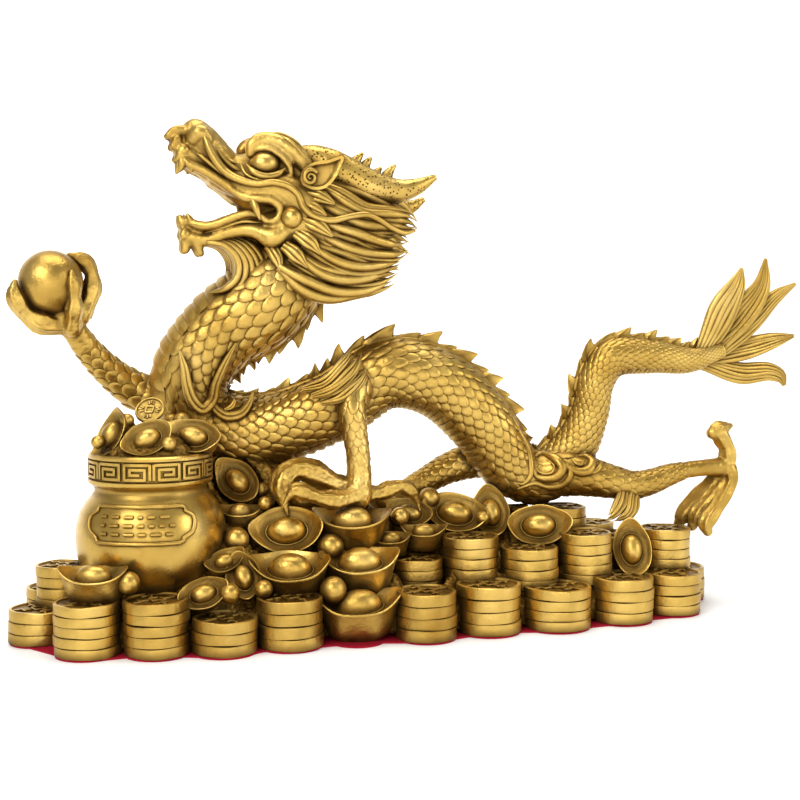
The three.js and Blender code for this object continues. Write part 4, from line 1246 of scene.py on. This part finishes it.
# %% One ingot
# Radius and height: foot, side, rim, trough and dome.
INGOT_PROFILE = [
    (0.28, -0.41), (0.345, -0.395), (0.385, -0.33), (0.415, -0.23), (0.447, -0.115), (0.486, -0.015),
    (0.5, 0.004), (0.498, 0.018), (0.482, 0.024), (0.462, 0.014), (0.42, -0.02), (0.37, -0.045),
    (0.315, -0.055), (0.302, -0.06), (0.296, -0.045), (0.284, -0.042), (0.275, -0.055), (0.262, -0.02),
    (0.24, 0.045), (0.20, 0.1), (0.14, 0.14), (0.07, 0.158), (0.015, 0.162),
]


def ingot_pattern():
    """A unit ingot, one long, with its rim at height zero."""
    piece = turned("ingot", [(r / MM, h / MM) for r, h in INGOT_PROFILE], 40)
    for point in piece.data.vertices:
        x, y, z = point.co
        reach = math.hypot(x, y)
        lead = abs(x) / max(reach, 1e-6)
        outer = min(1, max(0, (reach - 0.27) / 0.23)) if z > -0.2 else 0
        point.co.y = y * (0.70 - 0.05 * outer * lead ** 2)
        point.co.z = z + 0.13 * outer ** 1.3 * lead ** 4
        point.co.x = x * (1 + 0.05 * outer * lead ** 10)
    return piece


# %% Ingots
def stance_of(tilt=20, spin=0, turn=SHOW_TURN):
    """How an ingot lies: spun about its own upright, tilted back and turned on the bed."""
    stance = Matrix.Rotation(math.radians(turn), 3, "Z") @ Matrix.Rotation(math.radians(tilt), 3, "X")
    return np.array(stance @ Matrix.Rotation(math.radians(spin), 3, "Z"))


def ingot_warp(at, length, *lie):
    """Places an ingot, with small seeded dents round its rim."""
    stance = stance_of(*lie)
    dent = chance.uniform(0, 6)

    def warp(points):
        swing = np.arctan2(points[:, 1], points[:, 0])
        outer = np.minimum(1, np.hypot(points[:, 0], points[:, 1]) / 0.4) ** 2
        uneven = 1 + outer * (0.025 * np.sin(2 * swing + dent) + 0.015 * np.sin(5 * swing + dent))
        return in_frame(points * uneven[:, None] * length @ stance.T + np.array(at, float))
    return warp


# Place of the rim's middle, length, then tilt, spin and turn where they are not the common ones.
INGOTS = [
    ((-147, -32, 33.5), 29, 12), ((-102, -42, 25), 21, 55, 22), ((-83, -34, 29.6), 22, 62, 105),
    ((-59, -15, 46), 33, 58, 4), ((-62, -34, 32.6), 36, 22), ((-29, -18, 50), 35, 14),
    ((-30, -34, 33.4), 36, 18, 6), ((-34, -46.5, 17), 37, 16, 10), ((2, -8, 50), 22, 50, -20),
    ((25, -8, 49), 31, 48, -14), ((44, -6, 48), 26, 60, 100), ((60.6, -26, 44), 29, 62, 2),
    ((105, -35, 31.6), 27, 68, 92), ((-77, 8, 66.4), 25, 66, -46), ((-136, -6, 91), 24, 66, 75, -60),
    ((-122, -19, 90), 23, 58, 30), ((-101, -14, 90), 24, 56, -12), ((-28, 34, 25), 32, 26, 0, 176),
    ((36, 34, 24), 32, 30, 0, 188), ((-72, 36, 26), 30, 30, 10, 184), ((-12, -23, 41), 19, 16),
    ((5, -20, 43), 21, 14), ((-78, -4, 54), 21, 14), ((-46, 2, 57), 26, 40, 20),
    ((-4, 6, 53), 24, 30, -30), ((-40, 20, 56), 26, 40, 12, 170), ((-90, -28, 36), 18, 40, 30),
]
ingots = copies("ingots", ingot_pattern(), [ingot_warp(*row) for row in INGOTS], angle=30)
finish_with(ingots, cast_brass)
print(len(INGOTS), "ingots,", triangles(ingots), "triangles")

# %% Pearls
# x, y, z and radius.
PEARLS = [
    (-133, -38, 30.6, 4.9), (-82.4, -16, 42.8, 5.8), (-91, -44, 24.6, 4.5), (-76, -43, 25.4, 4),
    (-40.4, -23, 38.6, 6.1), (-45.4, -45, 23.6, 5.9), (15, 1, 55, 5.2), (-108, 2, 95, 3.8),
    (-66, 6, 62, 3.4), (-64, -2, 57, 2.6), (-68, -10, 58, 3), (-5, -15, 49.6, 4.3), (-142, -9, 88, 3),
    (-129, -8, 97, 3.2), (-113, -22, 87.4, 3.4), (-104, -2, 96, 3.6), (36, -16, 47, 3.4),
]


def pearl_pattern():
    """A unit pearl."""
    angles = np.linspace(0.08, math.pi - 0.04, 16)
    arc = [(max(0.04, math.sin(angle)), -math.cos(angle)) for angle in angles]
    return turned("pearl", [(r / MM, h / MM) for r, h in arc], 28)


def pearl_warp(x, y, z, radius):
    """Places a pearl."""
    return lambda points: in_frame(points * radius + np.array([x, y, z], float))


pearls = copies("pearls", pearl_pattern(), [pearl_warp(*row) for row in PEARLS], angle=60)
finish_with(pearls, cast_brass)
print(len(PEARLS), "pearls")

# %% [markdown]
# ## Mound
# Between the stacks the casting shows a rough heap of small treasure. It is drawn up in steps from the
# line of the stacks, cut finer and roughened by a cloud texture, so it reads as crumbled gold in the
# gaps. It sinks where ingots and coins lie on it. A steeper hillock carries the low bow of the body, and
# a remesh evens its stretched slopes before they crumble.

# %% Rough heaps
def roughened(piece, cuts, size, strength):
    """A rough heap: cut finer, then pushed in and out by clouds."""
    deselect_all()
    piece.select_set(True)
    bpy.context.view_layer.objects.active = piece
    finer = piece.modifiers.new("finer", "SUBSURF")
    finer.subdivision_type = "SIMPLE"
    finer.levels = finer.render_levels = cuts
    bpy.ops.object.modifier_apply(modifier=finer.name)
    crumbled(piece, size, strength)
    bpy.ops.object.shade_smooth()
    return finish_with(piece, gritty_brass)


# Room around, over and under an ingot, as shares of its length.
INGOT_CLEAR, INGOT_ABOVE, INGOT_BELOW = 0.58, 0.45, -0.2


def settled(piece):
    """Sinks a heap where ingots and coins lie on it, so that none of them is buried."""
    points = points_of(piece) / MM - SHIFT
    for at, length, *lie in INGOTS:
        stance = stance_of(*lie)
        lying = (points - np.array(at, float)) @ stance / length
        under = (np.hypot(lying[:, 0], lying[:, 1] / 0.7) < INGOT_CLEAR) & (lying[:, 2] < INGOT_ABOVE)
        lying[under, 2] = np.minimum(lying[under, 2], INGOT_BELOW)
        points = lying * length @ stance.T + np.array(at, float)
    for k, (x, y, top, radius) in enumerate(tops):
        upper = k >= len(EDGE_STACKS)
        near = np.hypot(points[:, 0] - x, points[:, 1] - y) < radius + (3 if upper else 1)
        points[near, 2] = np.minimum(points[near, 2], top - (12 if upper else 3))
    piece.data.vertices.foreach_set("co", in_frame(points).ravel())
    piece.data.update()


def evened(piece, voxel):
    """An even mesh over a stretched slope, so that it crumbles as finely as the rest."""
    skin = piece.modifiers.new("skin", "REMESH")
    skin.mode = "VOXEL"
    skin.voxel_size = voxel * MM
    skin.use_smooth_shade = True
    bpy.ops.object.modifier_apply(modifier=skin.name)
    return piece


# %% Mound
RING = [row[:2] for row in EDGE_STACKS[:5]] + [(-35, -42)] + [row[:2] for row in EDGE_STACKS[5:]]
RING_SIDES = 92
MOUND_X = -8
# Share of the ring and height of every step.
STEPS = [(1, 2.6), (1, 13), (0.9, 17), (0.76, 24), (0.56, 34), (0.42, 43), (0.28, 49), (0.06, 50)]
mound = turned("mound", [(share / MM, height / MM) for share, height in STEPS], RING_SIDES)
corner = np.linspace(0, len(RING), RING_SIDES + 1)
ring_x = np.interp(corner, range(len(RING) + 1), [x for x, y in RING + RING[:1]])
ring_y = np.interp(corner, range(len(RING) + 1), [y for x, y in RING + RING[:1]])
for k, point in enumerate(mound.data.vertices):
    share, height = math.hypot(point.co.x, point.co.y), point.co.z
    spread = 1 - (1 - share) * 0.5
    back_step = 3 * (1 - share)
    x = MOUND_X + (ring_x[k % RING_SIDES] - MOUND_X) * spread
    y = ring_y[k % RING_SIDES] * share + back_step
    point.co = in_frame((x, y, height))
settled(roughened(mound, 2, 3.0, 2.4))
print("mound", triangles(mound), "triangles")

# %% Hillock
HILLOCK = [
    (34, 28), (33, 34), (31, 41), (28.6, 48), (26, 55), (23.8, 61), (21.6, 66), (18, 72), (13.6, 77),
    (8, 81), (2, 82),
]
HILLOCK_AT = (-71, 21, 0)
hillock = turned("hillock", HILLOCK, 40)
for point in hillock.data.vertices:
    point.co.x *= 1.3
    point.co.y *= 0.65
    point.co += Vector(in_frame(HILLOCK_AT))
settled(roughened(hillock, 2, 9.0, 5.0))
crumbled(evened(hillock, 1.3), 3.0, 2.6)
print("hillock", triangles(hillock), "triangles")

# %% [markdown]
# ## Treasure pot
# The pot is turned: a round belly rubbed to a polish, a short neck and an upright band, filled with
# treasure. The band's meander is made of flat bars laid round the pot. The plaque's rim and its rows of
# plain strokes are thin rods, half sunk in the belly.

# %% Pot
POT_X, POT_Y = -118, -1
# Radius and height: belly, neck, lip, band, upper lip and mouth.
POT_PROFILE = [
    (18, 16), (22, 17.4), (27.5, 22.4), (31.2, 29.5), (33.1, 37.5), (33.5, 45), (33, 51), (31.4, 56.4),
    (28.8, 60.6), (26.4, 63.2), (25.1, 65), (24.8, 66.2), (25.2, 67.4), (26.2, 68.3), (27.2, 69),
    (27.7, 69.8), (27.7, 71), (26.7, 71.6), (26.7, 80), (27.7, 80.5), (27.7, 81.7), (27, 82.4),
    (25.4, 82.6), (24.4, 82), (24, 81), (13, 84), (2, 84),
]
pot = turned("pot", POT_PROFILE, 80)
bpy.ops.object.mode_set(mode="EDIT")
bpy.ops.mesh.select_all(action="SELECT")
bpy.ops.transform.translate(value=in_frame((POT_X, POT_Y, 0)))
bpy.ops.object.mode_set(mode="OBJECT")
heap = turned("heap", [(24, 80), (22.4, 84), (19, 88), (12, 92), (4, 93.4)], 40)
for point in heap.data.vertices:
    point.co += Vector(in_frame((POT_X, POT_Y, 0)))
roughened(heap, 2, 3.0, 1.6)
print("pot", triangles(pot), "triangles, heap", triangles(heap))

# %% Meander band
# Middle, width and height of each bar in one unit of the pattern.
MEANDER = [
    (0.9, 4.3, 1.3, 7.6), (6.9, 7.5, 12.0, 1.3), (12.4, 4.3, 1.3, 7.6), (7.8, 1.1, 10.4, 1.3),
    (3.2, 3.3, 1.3, 5.6), (6.4, 5.5, 7.6, 1.3), (9.8, 4.4, 1.3, 3.4), (7.8, 3.2, 5.2, 1.2),
]
UNITS, UNIT_WIDE = 13, 13.7
BAND_FOOT, BAND_RADIUS = 71.6, 26.7


def band_warp(unit, x, z, width, tall):
    """Wraps one bar of the meander round the band. Every second unit is turned over."""
    pitch = 2 * math.pi / UNITS
    flip = -1 if unit % 2 else 1

    def warp(points):
        soft = 1 - 0.1 * (points[:, 2] > 0.9)
        along = (x - UNIT_WIDE / 2 + points[:, 0] * width * soft) * flip
        turn = pitch * unit + along / UNIT_WIDE * pitch
        radius = BAND_RADIUS - 0.2 + points[:, 2] * 1.15
        level = BAND_FOOT + z + points[:, 1] * tall * soft
        places = [POT_X + radius * np.cos(turn), POT_Y + radius * np.sin(turn), level]
        return in_frame(np.column_stack(places))
    return warp


band_warps = [band_warp(unit, *bar) for unit in range(UNITS) for bar in MEANDER]
band = copies("meander", bar_pattern(), band_warps)
print(len(band_warps), "bars in the meander")

# %% Plaque
PLAQUE_HEIGHT = 53.5


def on_pot(across, level, proud):
    """A point on the pot's belly, seen from the show side."""
    radii, heights = zip(*POT_PROFILE[:16])
    radius = float(np.interp(level, heights, radii)) + proud
    depth = math.sqrt(max(radius ** 2 - across ** 2, 0))
    turn = math.radians(SHOW_TURN)
    x = across * math.cos(turn) + depth * math.sin(turn)
    y = across * math.sin(turn) - depth * math.cos(turn)
    return POT_X + x, POT_Y + y, level


# A quarter of the plaque's outline, across and up.
CORNER = [(0, 7.6), (10, 7.6), (17, 7.6), (18.6, 7), (18.9, 5.6), (20.2, 4.8), (22, 3.6), (22.8, 1.4)]
outline = CORNER + [(x, -z) for x, z in reversed(CORNER)]
outline += [(-x, -z) for x, z in CORNER[1:]] + [(-x, z) for x, z in reversed(CORNER[1:])]
outline += outline[:2]
plaque_lines = [np.array([(*on_pot(x, PLAQUE_HEIGHT + z, 0.2), 1.1) for x, z in outline], float)]
for level in (3.6, 0, -3.6):
    across = -16.5
    while across < 13.5:
        long = chance.uniform(1.6, 4.2)
        strip = [on_pot(across + long * share, PLAQUE_HEIGHT + level, 0.2) for share in (0, 0.33, 0.67, 1)]
        plaque_lines.append(np.array([(*place, 0.8) for place in strip], float))
        across += long + 2.2
plaque = rods("plaque", plaque_lines, sides=8)
print(len(plaque_lines) - 1, "strokes on the plaque")

# %% Square-holed coin on the heap
HEAP_COIN = [(6.4, 0), (6.8, 0.4), (6.8, 1.6), (6.4, 2), (5.9, 2), (5.6, 1.4), (2, 1.4)]
HEAP_COIN_AT = np.array([-118, -3, 100.4])
coin_turn = Matrix.Rotation(math.radians(SHOW_TURN - 10), 3, "Z")
coin_stance = coin_turn @ Matrix.Rotation(math.radians(48), 3, "X")


def heap_point(x, y, z):
    """A point on the heap's coin, from its own face."""
    return np.array(coin_stance @ Vector((x, y, z))) + HEAP_COIN_AT


heap_coin = turned("heap_coin", HEAP_COIN, 40)
for point in heap_coin.data.vertices:
    point.co = in_frame(heap_point(*(point.co / MM)))
marks = []
for quarter in range(4):
    turn = math.radians(90 * quarter)
    angles = (turn + math.pi / 4, turn - math.pi / 4)
    corners = [(2.3 * math.cos(angle), 2.3 * math.sin(angle)) for angle in angles]
    marks.append(np.array([(*heap_point(x, y, 1.5), 0.5) for x, y in corners], float))
    for k in (-1, 0, 1):
        inner, outer = 3 + 0.3 * (k == 0), 5.1 - 0.5 * abs(k)
        swing = turn + 0.28 * k
        strip = [heap_point(r * math.cos(swing), r * math.sin(swing), 1.5) for r in (inner, outer)]
        marks.append(np.array([(*place, 0.45) for place in strip], float))
heap_marks = rods("heap_marks", marks, sides=6)
print(len(marks), "marks on the coin")

# %% Join the treasure
finish_with(pot, polished_brass)
for piece in (band, plaque, heap_coin, heap_marks):
    finish_with(piece, cast_brass)
treasure_bed = gather("treasure_bed", [coins, strokes, mound, hillock])
treasure = gather("treasure", [ingots, pearls, pot, heap, band, plaque, heap_coin, heap_marks])

# %% [markdown]
# ## Felt lining
# The underside is closed by red felt that follows the scalloped edge of the coin stacks. Its outline is a
# run of arcs around the stacks. The circle's points are moved onto it, and the face is extruded to
# thickness.

# %% Felt
FELT_STACKS = [row[:3] for row in EDGE_STACKS[:5]] + [(-35, -47, 12)] + [row[:3] for row in EDGE_STACKS[5:]]


def felt_outline():
    """Points around the edge of the bed, one short arc for each stack."""
    points = []
    count = len(FELT_STACKS)
    for i, (x, y, radius) in enumerate(FELT_STACKS):
        before, after = FELT_STACKS[i - 1], FELT_STACKS[(i + 1) % count]
        outward = math.atan2(before[0] - after[0], after[1] - before[1])
        for swing in range(-60, 61, 12):
            angle = outward + math.radians(swing)
            points.append((x + (radius - 0.4) * math.cos(angle), y + (radius - 0.4) * math.sin(angle)))
    return points


edge = felt_outline()
deselect_all()
bpy.ops.mesh.primitive_circle_add(vertices=len(edge), radius=0.1, fill_type="NGON")
felt = bpy.context.object
felt.name = "felt_underside"
for point, (x, y) in zip(felt.data.vertices, edge):
    point.co = in_frame((x, y, 0))
bpy.ops.object.mode_set(mode="EDIT")
bpy.ops.mesh.select_all(action="SELECT")
bpy.ops.mesh.extrude_region_move(TRANSFORM_OT_translate={"value": (0, 0, FLOOR * MM)})
bpy.ops.mesh.select_all(action="SELECT")
bpy.ops.mesh.normals_make_consistent(inside=False)
bpy.ops.object.mode_set(mode="OBJECT")
print("felt", triangles(felt), "triangles")

# %% [markdown]
# ## Nap of the felt
# Felt is matted fibre: dull, with hardly any gloss. Fine noise varies the dye from fibre to fibre, and the
# same noise raises the nap.

# %% Red felt
red_felt = bpy.data.materials.new("red_felt")
red_felt.use_nodes = True
fuzz = red_felt.node_tree.nodes["Principled BSDF"]
fuzz.inputs["Roughness"].default_value = 0.95
fuzz.inputs["Specular IOR Level"].default_value = 0.1
fibre = noise(red_felt, 1500, 6)
dye = ramp(red_felt, fibre, (0, 0.16, 0.003, 0.010), (1, 0.42, 0.010, 0.030))
red_felt.node_tree.links.new(dye, fuzz.inputs["Base Color"])
bump(red_felt, fibre, 0.6, 0.0005)
finish_with(felt, red_felt)
print("felt dyed with", red_felt.name)

# %% [markdown]
# ## Stand in for the solids
# Every piece rides on the one body. The brass pieces stand for the casting and its two parted legs, and
# the felt stands for its lining.

# %% Ride and replace
for piece in (dragon_head, limbs, dragon_body, dragon_trim, treasure_bed, treasure):
    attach(piece, "root")
    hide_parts("brass_casting")
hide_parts("front_leg", "hind_leg")
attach(felt, "root")
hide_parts("felt_lining")
visible = (dragon_head, limbs, dragon_body, dragon_trim, treasure_bed, treasure, felt)
print("triangles in all", sum(triangles(piece) for piece in visible))

# %% [markdown]
# ## Studio
# A pale sweep, floor and wall in one curve, leaves no horizon behind the sculpture. Large soft lights on
# both sides, above and low in front model the brass, and the dark gaps between them give the metal
# something to reflect. One more light brightens the wall.

# %% Sweep
deselect_all()
bpy.ops.mesh.primitive_plane_add(size=1)
sweep = bpy.context.object
sweep.name = "sweep"
bpy.ops.object.mode_set(mode="EDIT")
bpy.ops.transform.resize(value=(8, 6, 1))
bpy.ops.mesh.select_all(action="DESELECT")
bpy.ops.object.mode_set(mode="OBJECT")
for line in sweep.data.edges:
    line.select = all(sweep.data.vertices[i].co.y > 2.9 for i in line.vertices)
bpy.ops.object.mode_set(mode="EDIT")
bpy.ops.mesh.select_mode(type="EDGE")
bpy.ops.mesh.extrude_region_move(TRANSFORM_OT_translate={"value": (0, 0, 4)})
bpy.ops.object.mode_set(mode="OBJECT")
bend = sweep.modifiers.new("bend", "BEVEL")
bend.width = 1.8
bend.segments = 16
bend.limit_method = "ANGLE"
bpy.ops.object.modifier_apply(modifier=bend.name)
bpy.ops.object.shade_smooth()
paper = bpy.data.materials.new("paper")
paper.use_nodes = True
paper.node_tree.nodes["Principled BSDF"].inputs["Base Color"].default_value = (0.93, 0.93, 0.93, 1)
paper.node_tree.nodes["Principled BSDF"].inputs["Roughness"].default_value = 0.45
sweep.data.materials.append(paper)
print("sweep", triangles(sweep), "triangles")

# %% Lights
def softbox(name, place, target, width, height, power):
    """A large area light that faces a target. Power is in watts, places in metres."""
    bpy.ops.object.light_add(type="AREA", location=place)
    lamp = bpy.context.object
    lamp.name = name
    lamp.data.shape = "RECTANGLE"
    lamp.data.size, lamp.data.size_y = width, height
    lamp.data.energy = power
    lamp.rotation_euler = (Vector(target) - Vector(place)).to_track_quat("-Z", "Y").to_euler()
    return lamp


MIDDLE = (0, 0, 0.1)
lamps = [
    softbox("key", (-0.9, -0.8, 0.9), MIDDLE, 0.7, 0.7, 11),
    softbox("fill", (1.1, -0.9, 0.6), MIDDLE, 0.6, 0.9, 7),
    softbox("top", (0, 0.1, 1.4), MIDDLE, 1.2, 0.8, 12),
    softbox("front", (-0.25, -1.3, 0.25), MIDDLE, 1.6, 0.4, 5),
    softbox("wall", (0, 0.8, 1.8), (0, 2.9, 0.9), 3, 1, 90),
]
world = bpy.data.worlds.new("studio")
bpy.context.scene.world = world
world.use_nodes = True
world.node_tree.nodes["Background"].inputs["Color"].default_value = (1, 1, 1, 1)
world.node_tree.nodes["Background"].inputs["Strength"].default_value = 0.42
print(len(lamps), "lights")

# %% [markdown]
# ## Camera
# The camera stands a little above the dragon's back and left of square to the show side, and looks
# slightly down. A long lens keeps the proportions calm.

# %% Camera
CAMERA_AT = (-204.6, -629.6, 150)
CAMERA_DIP = 4.086
camera_turn = (math.radians(90 - CAMERA_DIP), 0, math.radians(SHOW_TURN))
bpy.ops.object.camera_add(location=in_frame(CAMERA_AT), rotation=camera_turn)
camera = bpy.context.object
camera.data.lens = 63
camera.data.sensor_width = 36
camera.data.clip_start = 0.01
bpy.context.scene.camera = camera
bpy.context.scene.view_settings.view_transform = "Standard"
print("lens", camera.data.lens, "mm")
